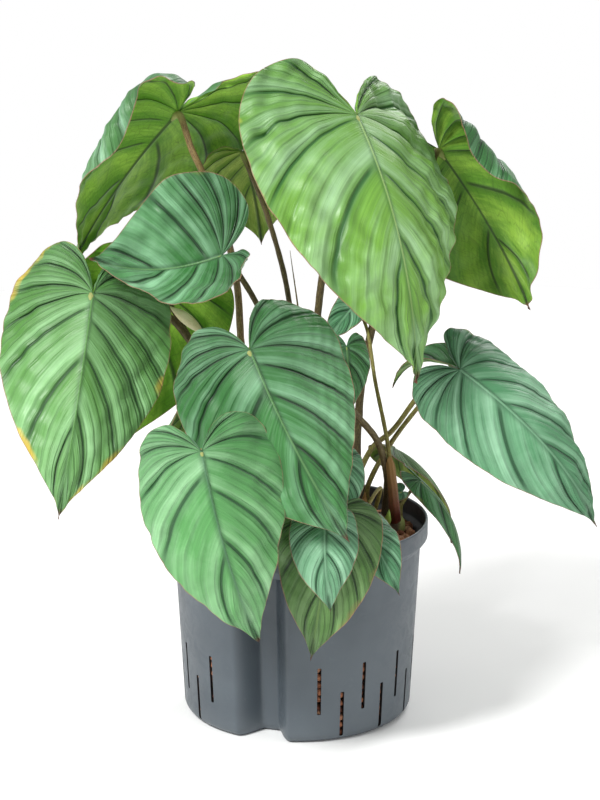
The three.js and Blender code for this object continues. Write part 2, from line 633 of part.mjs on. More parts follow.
function makeShoots(rhizomeRoom) {
  for (const [name, shoot] of Object.entries(SHOOTS)) {
    const solid = toSolid(spindle([...rhizomeExit(shoot), ...shoot.points], shoot.radius, shoot.fullest, 12));
    addPiece(name, toGeometry(solid.subtract(rhizomeRoom)), shoot.finish);
  }
  const route = [...rhizomeExit(YOUNG_LEAF), ...YOUNG_LEAF.stalk];
  const stalk = toSolid(bar(route, () => YOUNG_LEAF.stalkRadius, 6, 12)).subtract(rhizomeRoom);
  addPiece('stalk_young', toGeometry(stalk), STALK_OLIVE);
  const stalkEnd = YOUNG_LEAF.stalk.at(-1);
  const foot = stalkEnd.clone().lerp(YOUNG_LEAF.roll[0], (4 * GAP) / stalkEnd.distanceTo(YOUNG_LEAF.roll[0]));
  addPiece('young_leaf_roll', spindle([foot, ...YOUNG_LEAF.roll], YOUNG_LEAF.rollRadius, 0.5, 8), DRY_CREAM);
}

function makeCataphyll(rhizomeRoom) {
  const leaf = LEAVES[CATAPHYLL.on];
  const curve = new THREE.CatmullRomCurve3(stalkRoute(leaf), false, 'centripetal');
  const rows = 8;
  const columns = 8;
  const points = [];
  for (let i = 0; i < rows; i++) {
    const share = i / rows;
    const place = THREE.MathUtils.lerp(CATAPHYLL.from, CATAPHYLL.to, share);
    const centre = curve.getPointAt(place);
    const along = curve.getTangentAt(place);
    const front = new THREE.Vector3(0, -1, 0).projectOnPlane(along).normalize();
    const side = along.clone().cross(front);
    const radius = THREE.MathUtils.lerp(CATAPHYLL.footRadius, CATAPHYLL.topRadius, share);
    const half = THREE.MathUtils.degToRad(CATAPHYLL.wrap) * Math.sqrt(1 - share ** 2);
    for (let j = 0; j <= columns; j++) {
      const angle = half * ((2 * j) / columns - 1);
      points.push(centre.clone()
        .addScaledVector(front, radius * Math.cos(angle)).addScaledVector(side, radius * Math.sin(angle)));
    }
  }
  const along = curve.getTangentAt(CATAPHYLL.to);
  const front = new THREE.Vector3(0, -1, 0).projectOnPlane(along).normalize();
  const tip = points.push(curve.getPointAt(CATAPHYLL.to).addScaledVector(front, CATAPHYLL.topRadius + 2)) - 1;
  const faces = [];
  for (let i = 0; i < rows; i++) {
    for (let j = 0; j < columns; j++) {
      const [a, b] = [i * (columns + 1) + j, i * (columns + 1) + j + 1];
      if (i === rows - 1) faces.push([a, b, tip]);
      else faces.push([a, b, b + columns + 1], [a, b + columns + 1, a + columns + 1]);
    }
  }
  const solid = toSolid(thicken(points, faces, CATAPHYLL_THICKNESS)).subtract(rhizomeRoom);
  addPiece('cataphyll', toGeometry(solid), RED_BROWN_SHEATH);
}

// ---- the whole plant ----

makePot();
addPiece('rhizome', rhizomeGeometry(0), GREEN_BROWN_STEM);
const rhizomeRoom = toSolid(rhizomeGeometry(GAP));

const granuleFill = fluted([
  ...potInside(GAP, granuleEdge),
  [0.6 * POT.bodyTopRadius, granuleLevel - 0.2 * GRANULES.dome, 0.3],
  [0, granuleLevel, 0],
]);
addPiece('clay_granules', toGeometry(toSolid(granuleFill).subtract(rhizomeRoom)), FIRED_CLAY);

for (const [name, leaf] of Object.entries(LEAVES)) makeLeaf(name, leaf, rhizomeRoom);
makeShoots(rhizomeRoom);
makeCataphyll(rhizomeRoom);

export default group;
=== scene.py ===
"""A philodendron in a slotted hydroculture pot: fine meshes and materials around the CAD frame.

The tables are in millimetres in the frame's own axes: +Z up, +X the plant's right, -Y its front, and the
origin at the middle of the pot's underside. Every leaf is rebuilt from the sizes of its CAD blade.
"""

import math

import bmesh
import bpy
import numpy as np
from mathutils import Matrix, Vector


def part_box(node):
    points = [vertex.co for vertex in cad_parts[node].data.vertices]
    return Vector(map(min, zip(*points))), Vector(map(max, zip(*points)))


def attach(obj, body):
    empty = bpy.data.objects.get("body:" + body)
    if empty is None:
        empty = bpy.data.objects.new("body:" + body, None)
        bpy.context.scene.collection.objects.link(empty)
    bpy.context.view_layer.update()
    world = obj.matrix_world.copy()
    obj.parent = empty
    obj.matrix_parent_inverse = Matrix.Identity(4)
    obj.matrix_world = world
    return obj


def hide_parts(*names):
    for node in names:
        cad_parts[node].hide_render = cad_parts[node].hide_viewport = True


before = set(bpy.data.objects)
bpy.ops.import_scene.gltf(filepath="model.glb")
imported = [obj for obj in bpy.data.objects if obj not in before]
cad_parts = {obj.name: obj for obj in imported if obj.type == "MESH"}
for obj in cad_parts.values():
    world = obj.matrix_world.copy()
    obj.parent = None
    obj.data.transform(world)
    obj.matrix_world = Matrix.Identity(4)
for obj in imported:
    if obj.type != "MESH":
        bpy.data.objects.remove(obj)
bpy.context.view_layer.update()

MM = 0.001

# ---- sizes that the frame was built with ----

POT_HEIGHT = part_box("pot")[1].z / MM
RIM_RADIUS = 125
RIM_BAND = 17
RIM_SLOPE = 8
BODY_TOP_RADIUS = 118
BASE_RADIUS = 109
BASE_FILLET = 9
WALL = 2.6
POT_FLOOR = 3
FLUTE_AZIMUTH = math.radians(-108)
FLUTE_DEPTH = 28
FLUTE_HALF_WIDTH = 27
FLUTE_FLOOR = 18
RIM_FOOT = POT_HEIGHT - RIM_BAND - RIM_SLOPE
RIM_RUN = RIM_RADIUS - BODY_TOP_RADIUS
LEDGE_FOOT = RIM_FOOT + WALL * (math.hypot(RIM_RUN, RIM_SLOPE) - RIM_SLOPE) / RIM_RUN

SLOT_COUNT = 27
SLOT_WIDTH = 3.7
SLOT_BESIDE_FLUTE = 28.5
SLOT_UPPER = (29, 76)
SLOT_LOWER = (5, 50)

GRANULE_LEVEL = POT_HEIGHT - 12
GRANULE_DOME = 5
POT_DIRECTIONS, BED_DIRECTIONS = 420, 180
BED_BELOW = 9  # from the granules' surface down to the bed that carries the top pebbles
TOP_PITCH = 9.0
SLOT_PITCH = 7.6
ROW_SHARE = 0.87  # of the pitch, between staggered rows
PEBBLE_SHAPES = 12
PEBBLE_LEVEL = 3

RHIZOME_FROM = np.array([-34.0, 16.0])
RHIZOME_TO = np.array([104.0, 12.0])
RHIZOME_RADIUS = 13
RHIZOME_HEIGHT = -2
RHIZOME_TOP = RHIZOME_HEIGHT + RHIZOME_RADIUS


def above(x, y, z):
    """A point given from the pot's axis, with its height above the granules."""
    return np.array([x, y, GRANULE_LEVEL + z], float)


def rim_point(azimuth, outside, height):
    """A point near the rim: direction, distance outside the rim and height above it."""
    angle = math.radians(azimuth)
    radius = RIM_RADIUS + outside
    return np.array([radius * math.cos(angle), radius * math.sin(angle), POT_HEIGHT + height])


# ---- leaves, as in the frame ----
# base is where the stalk meets the blade and tip is the blade's point. face is the direction of the upper
# side. arch and sweep bow the midrib, fold and curl bend the left and right half, and lift raises the
# lobes. stalk lists the points between the rhizome and the base; at and lean are its place on the rhizome.
# The shapes of ten leaves follow a scratch fit to the photo, rounded.


def leaf_sizes(sweep=0, fold=(0, 0), curl=(-30, -30), curl_power=1, lift=(0, 0), lobe=0.2, twist=0, **own):
    """One leaf's sizes: its own, and the ones that most leaves share."""
    return dict(own, sweep=sweep, fold=fold, curl=curl, curl_power=curl_power, lift=lift, lobe=lobe,
                twist=twist)


LEAVES = {
    "upper_front": leaf_sizes(
        base=above(55, -10, 400), tip=above(110, -75, 162), width=235, face=(-60, 35),
        arch=0.16, sweep=0.04, fold=(-10, -5), curl=(-30, -20), lift=(10, 40), lobe=0.22, twist=10,
        at=0.27, lean=40, radius=(4.6, 3.2),
        stalk=[above(12, 48, 112), above(22, 48, 222), above(40, 32, 342)]),
    "right_back": leaf_sizes(
        base=above(136, 92, 351), tip=above(221, 20, 209), width=200, face=(90, 30),
        arch=0.14, sweep=-0.03, fold=(-30, -20), curl=(-60, -130), curl_power=3, lobe=0.26, twist=10,
        at=0.68, lean=40, radius=(4.8, 3.2),
        stalk=[above(57, 32, 50), above(62, 48, 132), above(76, 50, 202), above(104, 36, 290),
               above(125, 58, 335)]),
    "right_front": leaf_sizes(
        base=above(152, -30, 164), tip=above(285, -20, 7), width=125, face=(-95, 35),
        arch=0.18, sweep=-0.02, fold=(-15, -15), curl=(-45, -25), lift=(5, -15), lobe=0.18, twist=15,
        at=0.64, lean=-50, radius=(3.2, 2.2),
        stalk=[above(57, -2, 48), above(72, 2, 80), above(90, 2, 96), above(118, -4, 136),
               above(140, -20, 156)]),
    "left_front": leaf_sizes(
        base=above(-187, -60, 244), tip=above(-216, -140, 52), width=180, face=(-75, 20),
        arch=0.04, fold=(-25, -35), curl=(5, -10), lift=(-35, -20), lobe=0.3,
        at=0.14, lean=0, radius=(4.2, 3),
        stalk=[above(-42, 8, 82), above(-84, 2, 156), above(-119, -2, 207), above(-156, -24, 234)]),
    "middle_front": leaf_sizes(
        base=rim_point(-108, 12, 196), tip=rim_point(-74.5, 51, 28), width=185, face=(-80, 30),
        arch=0.06, sweep=0.04, fold=(-10, -25), curl=(-15, -35), lift=(-25, -30), lobe=0.26, twist=10,
        at=0.86, lean=0, radius=(3.8, 2.8),
        stalk=[above(86, -4, 48), above(76, -16, 90), above(56, -34, 120), above(18, -70, 170)]),
    "low_front": leaf_sizes(
        base=rim_point(-113, 90, 121), tip=rim_point(-100.5, 62, -62), width=150, face=(-95, 25),
        arch=0.12, sweep=0.02, fold=(-15, -20), lift=(5, 5), lobe=0.15, twist=15,
        at=0.16, lean=-50, radius=(3.4, 2.6),
        stalk=[above(-16, -36, 50), above(-34, -92, 66), rim_point(-112, 36, 56), rim_point(-113.5, 74, 84)]),
    "upper_left_back": leaf_sizes(
        base=above(-111, 30, 397), tip=above(-213, 20, 254), width=190, face=(80, 38),
        arch=0.1, fold=(-5, 25), curl=(-150, -30), curl_power=2.5, lift=(-70, -10), lobe=0.42, twist=40,
        at=0.05, lean=40, radius=(4.4, 3),
        stalk=[above(-40, 54, 62), above(-54, 66, 162), above(-58, 58, 226), above(-74, 22, 308),
               above(-98, 14, 364)]),
    "left_cupped": leaf_sizes(
        base=above(-70, -20, 271), tip=above(-190, -60, 277), width=170, face=(-75, 55),
        arch=-0.14, fold=(15, 30), curl=(20, 20), lift=(50, 0), lobe=0.3,
        at=0.23, lean=0, radius=(3.8, 2.6),
        stalk=[above(-10, 10, 112), above(-30, 0, 202), above(-58, -12, 256)]),
    "upper_back": leaf_sizes(
        base=above(-52, 70, 353), tip=above(-35, 120, 252), width=110, face=(85, 45),
        arch=0.1, fold=(-15, -15), curl=(-40, -40), lobe=0.15,
        at=0.15, lean=40, radius=(3.4, 2.4),
        stalk=[above(-4, 62, 102), above(-8, 70, 207), above(-30, 68, 295)]),
    "left_back": leaf_sizes(
        base=above(-136, 36, 230), tip=above(-178, -4, 71), width=165, face=(100, 20),
        arch=0.05, curl=(-20, -20),
        at=0.05, lean=0, radius=(3.6, 2.6),
        stalk=[above(-62, 18, 96), above(-106, 18, 190)]),
    "low_left_inner": leaf_sizes(
        base=above(-95, -60, 142), tip=above(-130, -80, 54), width=80, face=(150, 20),
        arch=0.05, curl=(-20, -20),
        at=0.06, lean=-50, radius=(2.4, 1.8),
        stalk=[above(-42, -28, 74), above(-76, -50, 124)]),
    "inner_back_small": leaf_sizes(
        base=above(57, 60, 207), tip=above(25, 30, 174), width=35, face=(-60, 50),
        arch=0.1, fold=(10, 10), curl=(20, 20),
        at=0.92, lean=-45, radius=(2.8, 1.6),
        stalk=[above(92, -12, 26), above(86, -10, 84), above(74, 12, 142), above(66, 50, 186)]),
    "inner_front_small": leaf_sizes(
        base=above(46, -20, 184), tip=above(49, -30, 122), width=45, face=(-80, 10),
        arch=0.1,
        at=0.5, lean=0, radius=(2.4, 1.6),
        stalk=[above(38, 2, 92), above(44, -10, 162)]),
    "rim_front_inner": leaf_sizes(
        base=rim_point(-67, -22, 84), tip=rim_point(-69, -4, 30), width=46, face=(-78, 24),
        arch=0.1,
        at=0.48, lean=-50, radius=(2.4, 1.6),
        stalk=[above(44, -34, 56), above(41, -70, 90)]),
    "rim_front": leaf_sizes(
        base=rim_point(-76, 14, 44), tip=rim_point(-85.5, 30, -90), width=100, face=(-90, 20),
        arch=0.12, fold=(-5, -5), curl=(-30, -20), lobe=0.14, twist=-10,
        at=0.37, lean=-50, radius=(2.8, 2),
        stalk=[above(20, -40, 50), above(12, -88, 78), rim_point(-79.5, -3, 62)]),
    "rim_front_small": leaf_sizes(
        base=rim_point(-80.5, 26, 41), tip=rim_point(-80, 48, -38), width=65, face=(-85, 20),
        arch=0.1, sweep=0.03,
        at=0.27, lean=-50, radius=(2.4, 1.8),
        stalk=[above(0, -40, 66), above(-6, -90, 108), rim_point(-86.5, 3, 72)]),
    "rim_front_right": leaf_sizes(
        base=rim_point(-60, -4, 24), tip=rim_point(-56, 42, -33), width=50, face=(-80, 30),
        arch=0.12,
        at=0.77, lean=-50, radius=(2.4, 1.6),
        stalk=[above(78, -48, 54), above(70, -76, 54), rim_point(-56, -16, 28)]),
    "rim_right_back": leaf_sizes(
        base=rim_point(36, -7, 48), tip=rim_point(33, 59, -60), width=50, face=(60, 50),
        arch=0.15, fold=(-30, -30),
        at=0.86, lean=40, radius=(2.2, 1.6),
        stalk=[above(86, 46, 34)]),
    "rim_right": leaf_sizes(
        base=rim_point(17, 0, 24), tip=rim_point(18, 43, -76), width=34, face=(-32, 50),
        arch=0.13, fold=(-20, -20), curl=(-20, -20),
        at=0.97, lean=35, radius=(2, 1.5),
        stalk=[above(102, 30, 16)]),
    "inner_right": leaf_sizes(
        base=above(150, 20, 155), tip=above(92, 60, 123), width=45, face=(-60, 70),
        arch=0.2, fold=(20, 20), curl=(20, 20),
        at=0.74, lean=0, radius=(3, 2),
        stalk=[above(67, 6, 38), above(88, 8, 80), above(120, 14, 122)]),
    "crown_small": leaf_sizes(
        base=above(101, 20, RHIZOME_TOP + 19), tip=above(82, 23, RHIZOME_TOP + 5), width=20, face=(-70, 50),
        arch=0.1, fold=(10, 10), curl=(10, 10),
        at=0.95, lean=0, radius=(1.6, 1.2),
        stalk=[above(102, 17, RHIZOME_TOP + 11)]),
}

# Half of a blade's outline from tip to base: share of the half width, share of the length.
OUTLINE = np.array([
    (0, 1), (0.035, 0.955), (0.11, 0.9), (0.32, 0.79), (0.6, 0.645), (0.83, 0.48), (0.97, 0.3),
    (1, 0.12), (0.95, -0.05), (0.81, -0.18), (0.59, -0.25), (0.36, -0.26), (0.15, -0.165), (0, 0),
])
OUTLINE_LOBE = 0.26
BASAL_VEINS = 0.5
VEIN_SPACING = 1.6
VEIN_BOW = 0.2

# How each leaf looks: the colours of its upper side and its underside, the number of main veins in each
# half, how deep the quilting between them is, and how far its margin waves, in millimetres.
LOOKS = {
    "upper_front": ("glaucous_light", "lime", 8, 6.0, 2.4),
    "right_back": ("dark_green", "olive", 8, 4.2, 2.6),
    "right_front": ("blue_green", "grey_green", 8, 3.4, 1.6),
    "left_front": ("mid_green", "lime", 9, 4.2, 2.4),
    "middle_front": ("dark_green", "lime", 8, 4.6, 1.8),
    "low_front": ("mint", "grey_green", 7, 4.0, 1.8),
    "upper_left_back": ("glaucous_dark", "lime", 8, 4.2, 2.4),
    "left_cupped": ("dark_green", "mint_under", 7, 3.4, 2.0),
    "upper_back": ("mid_green", "olive_lime", 7, 2.8, 1.4),
    "left_back": ("mid_green", "lime", 8, 3.6, 2.0),
    "low_left_inner": ("olive", "olive", 6, 2.0, 1.2),
    "inner_back_small": ("blue_green", "grey_green", 5, 1.0, 0.7),
    "inner_front_small": ("dark_green", "olive", 5, 1.2, 0.9),
    "rim_front_inner": ("blue_green", "grey_green", 5, 1.2, 0.9),
    "rim_front": ("olive", "olive", 7, 2.6, 1.2),
    "rim_front_small": ("blue_green", "grey_green", 6, 1.7, 0.9),
    "rim_front_right": ("blue_green", "grey_green", 6, 1.3, 0.9),
    "rim_right_back": ("olive", "olive_lime", 5, 1.2, 0.9),
    "rim_right": ("dark_green", "olive", 5, 0.8, 0.7),
    "inner_right": ("dark_green", "olive", 5, 0.9, 0.7),
    "crown_small": ("blue_green", "grey_green", 4, 0.4, 0.3),
}

SHEET_THICKNESS = 1.0
CURL_STEPS = 16
ROWS_PER_MM, ROWS_PER_VEIN, FEWEST_ROWS, MOST_ROWS = 0.7, 14, 40, 190
COLUMNS_PER_MM, FEWEST_COLUMNS, MOST_COLUMNS = 0.24, 10, 48
BLADE_CREASE, STEM_CREASE, POT_CREASE = 65, 60, 38  # degrees, sharper edges stay sharp
SIDE_MARK = 3.0  # keeps the patterns of the two halves apart

# ---- small helpers ----


def linear(colour):
    """An sRGB hex colour as linear RGBA."""
    parts = [int(colour[i:i + 2], 16) / 255 for i in (0, 2, 4)]
    return [c / 12.92 if c <= 0.04045 else ((c + 0.055) / 1.055) ** 2.4 for c in parts] + [1.0]


def unit(vectors):
    return vectors / np.linalg.norm(vectors, axis=-1, keepdims=True)


def smooth(value, low, high):
    """0 below low, 1 above high, and a smooth step between."""
    t = np.clip((value - low) / (high - low), 0, 1)
    return t * t * (3 - 2 * t)


def wavy(points, seed, wavelength, count=5):
    """A smooth irregular field of about unit height over points in space."""
    rng = np.random.default_rng(seed)
    total = np.zeros(len(points))
    for _ in range(count):
        direction = unit(rng.normal(size=3)) / (wavelength * rng.uniform(0.7, 1.5))
        total += np.sin(2 * math.pi * (points @ direction) + rng.uniform(0, 2 * math.pi))
    return total / math.sqrt(count)


def ripple(share, seed, cycles):
    """An irregular wave along a margin, of about unit height."""
    rng = np.random.default_rng(seed)
    total = np.zeros_like(share)
    for k in range(4):
        rate = cycles * (0.6 + 0.55 * k)
        total += np.sin(2 * math.pi * rate * share + rng.uniform(0, 2 * math.pi)) / (1 + 0.5 * k)
    return total / 1.8


def mesh_object(name, vertices, faces, materials, face_material=None, sharp=None, fields=None):
    """A smooth mesh from points in millimetres. fields are named values or vectors at its points."""
    mesh = bpy.data.meshes.new(name)
    mesh.from_pydata((np.asarray(vertices) * MM).tolist(), [], [list(map(int, f)) for f in faces])
    for material in materials:
        mesh.materials.append(material)
    if face_material is not None:
        mesh.polygons.foreach_set("material_index", np.asarray(face_material, np.int32))
    for key, values in (fields or {}).items():
        values = np.asarray(values, np.float32)
        kind = "FLOAT_VECTOR" if values.ndim == 2 else "FLOAT"
        attribute = mesh.attributes.new(key, kind, "POINT")
        attribute.data.foreach_set("vector" if values.ndim == 2 else "value", values.ravel())
    mesh.shade_smooth()
    if sharp is not None:
        mesh.set_sharp_from_angle(angle=math.radians(sharp))
    mesh.update()
    piece = bpy.data.objects.new(name, mesh)
    bpy.context.scene.collection.objects.link(piece)
    return piece


def settle(piece, slot, *nodes):
    """The piece rides on the plant's one body and stands for nodes. slot is not used."""
    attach(piece, "root")
    if nodes:
        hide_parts(*nodes)


# ---- materials ----


class Graph:
    """A material's node tree, with short calls for the nodes that the finishes share."""

    def __init__(self, name):
        self.material = bpy.data.materials.new(name)
        self.material.use_nodes = True
        self.tree = self.material.node_tree
        self.shader = self.tree.nodes["Principled BSDF"]

    def put(self, socket, value):
        if isinstance(value, bpy.types.NodeSocket):
            self.tree.links.new(value, socket)
        elif value is not None:
            socket.default_value = value

    def node(self, kind, *values, **settings):
        made = self.tree.nodes.new(kind)
        for key, value in settings.items():
            setattr(made, key, value)
        for socket, value in zip(made.inputs, values):
            self.put(socket, value)
        return made

    def math(self, operation, *values, clamp=False):
        return self.node("ShaderNodeMath", *values, operation=operation, use_clamp=clamp).outputs[0]

    def plus(self, a, b, clamp=False):
        return self.math("ADD", a, b, clamp=clamp)

    def minus(self, a, b):
        return self.math("SUBTRACT", a, b)

    def times(self, a, b):
        return self.math("MULTIPLY", a, b)

    def off_middle(self, phase):
        """How far a repeating phase is from the middle of its turn, -0.5 to 0.5."""
        return self.minus(self.math("FRACT", phase), 0.5)

    def ramp(self, value, low, high, at_low=0.0, at_high=1.0):
        """A smooth step of value from at_low to at_high."""
        made = self.node("ShaderNodeMapRange", value, low, high, at_low, at_high,
                         interpolation_type="SMOOTHSTEP")
        return made.outputs[0]

    def mix(self, factor, a, b, blend="MIX"):
        made = self.tree.nodes.new("ShaderNodeMix")
        made.data_type = "RGBA"
        made.blend_type = blend
        self.put(made.inputs["Factor"], factor)
        self.put(made.inputs[6], linear(a) if isinstance(a, str) else a)
        self.put(made.inputs[7], linear(b) if isinstance(b, str) else b)
        return made.outputs[2]

    def layer(self, colour, over, value, low, high, at_low=0.0, at_high=1.0):
        """colour with another over it, as far as a smooth step of value says."""
        return self.mix(self.ramp(value, low, high, at_low, at_high), colour, over)

    def field(self, name):
        """A named vector field of the mesh, as three numbers."""
        found = self.node("ShaderNodeAttribute", attribute_name=name)
        return self.node("ShaderNodeSeparateXYZ", found.outputs["Vector"]).outputs

    def number(self, name):
        return self.node("ShaderNodeAttribute", attribute_name=name).outputs["Fac"]

    def place(self):
        return self.node("ShaderNodeTexCoord").outputs["Object"]

    def vector(self, x, y, z):
        return self.node("ShaderNodeCombineXYZ", x, y, z).outputs[0]

    def noise(self, vector, scale, detail=3.0, roughness=0.55, distortion=0.0):
        made = self.tree.nodes.new("ShaderNodeTexNoise")
        self.put(made.inputs["Vector"], vector)
        made.inputs["Scale"].default_value = scale
        made.inputs["Detail"].default_value = detail
        made.inputs["Roughness"].default_value = roughness
        made.inputs["Distortion"].default_value = distortion
        return made.outputs["Fac"]

    def cells(self, vector, scale, feature="F1"):
        made = self.tree.nodes.new("ShaderNodeTexVoronoi")
        made.feature = feature
        self.put(made.inputs["Vector"], vector)
        made.inputs["Scale"].default_value = scale
        return made.outputs["Distance"]

    def bump(self, height, distance, strength=1.0, under=None):
        made = self.tree.nodes.new("ShaderNodeBump")
        made.inputs["Distance"].default_value = distance
        made.inputs["Strength"].default_value = strength
        self.put(made.inputs["Height"], height)
        if under is not None:
            self.put(made.inputs["Normal"], under)
        return made.outputs["Normal"]

    def finish(self, colour, roughness, normal=None, sheen=0.0, specular=0.5):
        self.put(self.shader.inputs["Base Color"], colour)
        self.put(self.shader.inputs["Roughness"], roughness)
        if normal is not None:
            self.put(self.shader.inputs["Normal"], normal)
        self.shader.inputs["Sheen Weight"].default_value = sheen
        self.shader.inputs["Specular IOR Level"].default_value = specular
        return self.material


# Colours of the upper sides: between the veins; on the raised crests, the glaucous bloom's paleness with a
# painted highlight;
# in the grooves, painted shade, also used for dark streaks and a darker base; along the midrib; in the aged
# patches;
# and how far the aged patches reach (0 none, 1 much).
UPPER = {
    "glaucous_light": ("72a63c", "aad4a0", "245a20", "a9cc78", "c6c24c", 0.06),
    "dark_green": ("3a7c3a", "92c89c", "0f3416", "6ea060", "b9b84e", 0.03),
    "blue_green": ("539264", "a2d4ae", "20502f", "84b890", "b7b765", 0.03),
    "mid_green": ("568f3c", "96ca8c", "1f4a1c", "5f9a46", "d9b640", 0.40),
    "mint": ("5a9e56", "a6dca4", "1f5028", "4d7a58", "c8c66a", 0.03),
    "glaucous_dark": ("4c8244", "a6d4b2", "1b481e", "7da860", "b7a84e", 0.06),
    "olive": ("46722a", "7ea466", "1a3812", "6f9048", "8a7c40", 0.2),
}

# Colours of the undersides: the web, its paler parts, and the raised veins. The leaf's own lime and olive are
# made brighter and more saturated here, a painted glow of light shining through the leaf.
UNDER = {
    "lime": ("5c9612", "9ccc44", "264408"),
    "olive": ("4e7e18", "86ae38", "203808"),
    "olive_lime": ("6c9228", "b4c85c", "324a0e"),
    "grey_green": ("5a8c64", "9cc8a6", "2e5838"),
    "mint_under": ("7fb58a", "c4ecc8", "3f7a4c"),
}

MARGIN_TONE = "9a6a58"
TIP_TONE = "6b4028"


def vein_masks(graph, groove_width):
    """What the upper side and the underside share: places, and the mask of the main veins."""
    phase, rise, side = graph.field("leaf_place")
    rib, edge, reach = graph.field("leaf_reach")
    turn = graph.off_middle(phase)
    apart = graph.math("ABSOLUTE", turn)
    groove = graph.ramp(apart, 0.006, groove_width, 1.0, 0.0)
    groove = graph.times(groove, graph.ramp(rise, 0.8, 1.0, 1.0, 0.25))
    groove = graph.times(groove, graph.ramp(rise, 0.02, 0.12))
    return phase, rise, side, rib, edge, reach, turn, apart, groove


def worn_ends(graph, colour, edge, reach, place):
    """The thin margin line and the dried tip."""
    frayed = graph.plus(edge, graph.times(graph.noise(place, 160), 0.8))
    colour = graph.layer(colour, MARGIN_TONE, frayed, 0.7, 1.6, 0.75, 0.0)
    return graph.mix(graph.ramp(reach, 0.945, 0.985), colour, TIP_TONE)


def upper_finish(name):
    body, bloom_and_highlight_tone, shade_and_dark_tone, rib_tone, aged, ageing = UPPER[name]
    graph = Graph("leaf_upper_" + name)
    phase, rise, side, rib, edge, reach, turn, apart, groove = vein_masks(graph, 0.05)
    place = graph.place()
    drawn_out = graph.times(rise, 0.35)
    streaks = graph.noise(graph.vector(graph.times(phase, 2.6), drawn_out, side), 3.2, 2.0, 0.5, 0.2)
    fine = graph.noise(graph.vector(graph.times(phase, 9.0), drawn_out, side), 3.0, 3.0, 0.6, 0.15)
    mottle = graph.noise(place, 26, 4.0, 0.6, 0.6)
    broad = graph.noise(place, 9, 2.0, 0.5, 0.4)
    # Paler towards the crest colour: the glaucous bloom in streaks and patches, and a painted highlight along
    # one side of each main vein.
    vein_side_highlight = graph.times(graph.ramp(turn, 0.02, 0.16), graph.ramp(turn, 0.2, 0.5, 1.0, 0.0))
    bloom_and_highlight = graph.plus(graph.times(vein_side_highlight, 0.4), graph.ramp(streaks, 0.4, 0.7, 0.0, 0.24))
    bloom_and_highlight = graph.plus(bloom_and_highlight, graph.ramp(mottle, 0.35, 0.7, -0.1, 0.14))
    bloom_and_highlight = graph.plus(bloom_and_highlight, graph.ramp(broad, 0.35, 0.65, -0.14, 0.24), clamp=True)
    colour = graph.mix(bloom_and_highlight, body, bloom_and_highlight_tone)
    minor = graph.math("ABSOLUTE", graph.off_middle(graph.times(phase, 4.0)))
    minor = graph.times(graph.ramp(minor, 0.02, 0.2, 1.0, 0.0), graph.ramp(rise, 0.1, 0.3))
    # Painted shade in the fine grooves of the minor veins.
    colour = graph.mix(graph.times(minor, 0.2), colour, shade_and_dark_tone)
    # The same dark tone marks the fine streaks and darkens the blade towards its base.
    colour = graph.layer(colour, shade_and_dark_tone, fine, 0.42, 0.62, 0.16, 0.0)
    colour = graph.layer(colour, shade_and_dark_tone, reach, -0.25, 0.5, 0.42, 0.0)
    # Painted shade in the hollow round each main vein, darkest in the groove itself.
    hollow_shade = graph.ramp(apart, 0.0, 0.15, 0.5, 0.0)
    colour = graph.mix(hollow_shade, colour, shade_and_dark_tone)
    colour = graph.mix(graph.times(groove, 0.95), colour, shade_and_dark_tone)
    # Painted shade in the sunken valley beside the midrib.
    rib_valley_shade = graph.times(graph.ramp(rib, 1.0, 5.5, 0.5, 0.0), graph.ramp(reach, -0.02, 0.02))
    colour = graph.mix(rib_valley_shade, colour, shade_and_dark_tone)
    on_rib = graph.times(graph.ramp(rib, 0.5, 1.4, 0.55, 0.0), graph.ramp(reach, -0.03, 0.01))
    colour = graph.mix(graph.times(on_rib, graph.ramp(reach, 0.6, 0.95, 1.0, 0.2)),
                       colour, rib_tone)
    patches = graph.plus(graph.noise(place, 14, 3.0, 0.6, 0.8), graph.ramp(edge, 0.0, 22.0, 0.22, -0.12))
    start = 0.82 - 0.32 * ageing
    colour = graph.layer(colour, aged, patches, start, start + 0.16, 0.0, 0.7)
    colour = worn_ends(graph, colour, edge, reach, place)
    roughness = graph.ramp(streaks, 0.3, 0.75, 0.40, 0.56)
    height = graph.plus(graph.times(fine, 0.5), graph.times(streaks, 0.4))
    height = graph.minus(height, graph.times(groove, 0.9))
    height = graph.minus(height, graph.times(minor, 0.55))
    grain = graph.bump(graph.noise(place, 900, 2.0), 0.00012, 0.6)
    normal = graph.bump(height, 0.0014, 1.0, grain)
    return graph.finish(colour, roughness, normal, sheen=0.08)


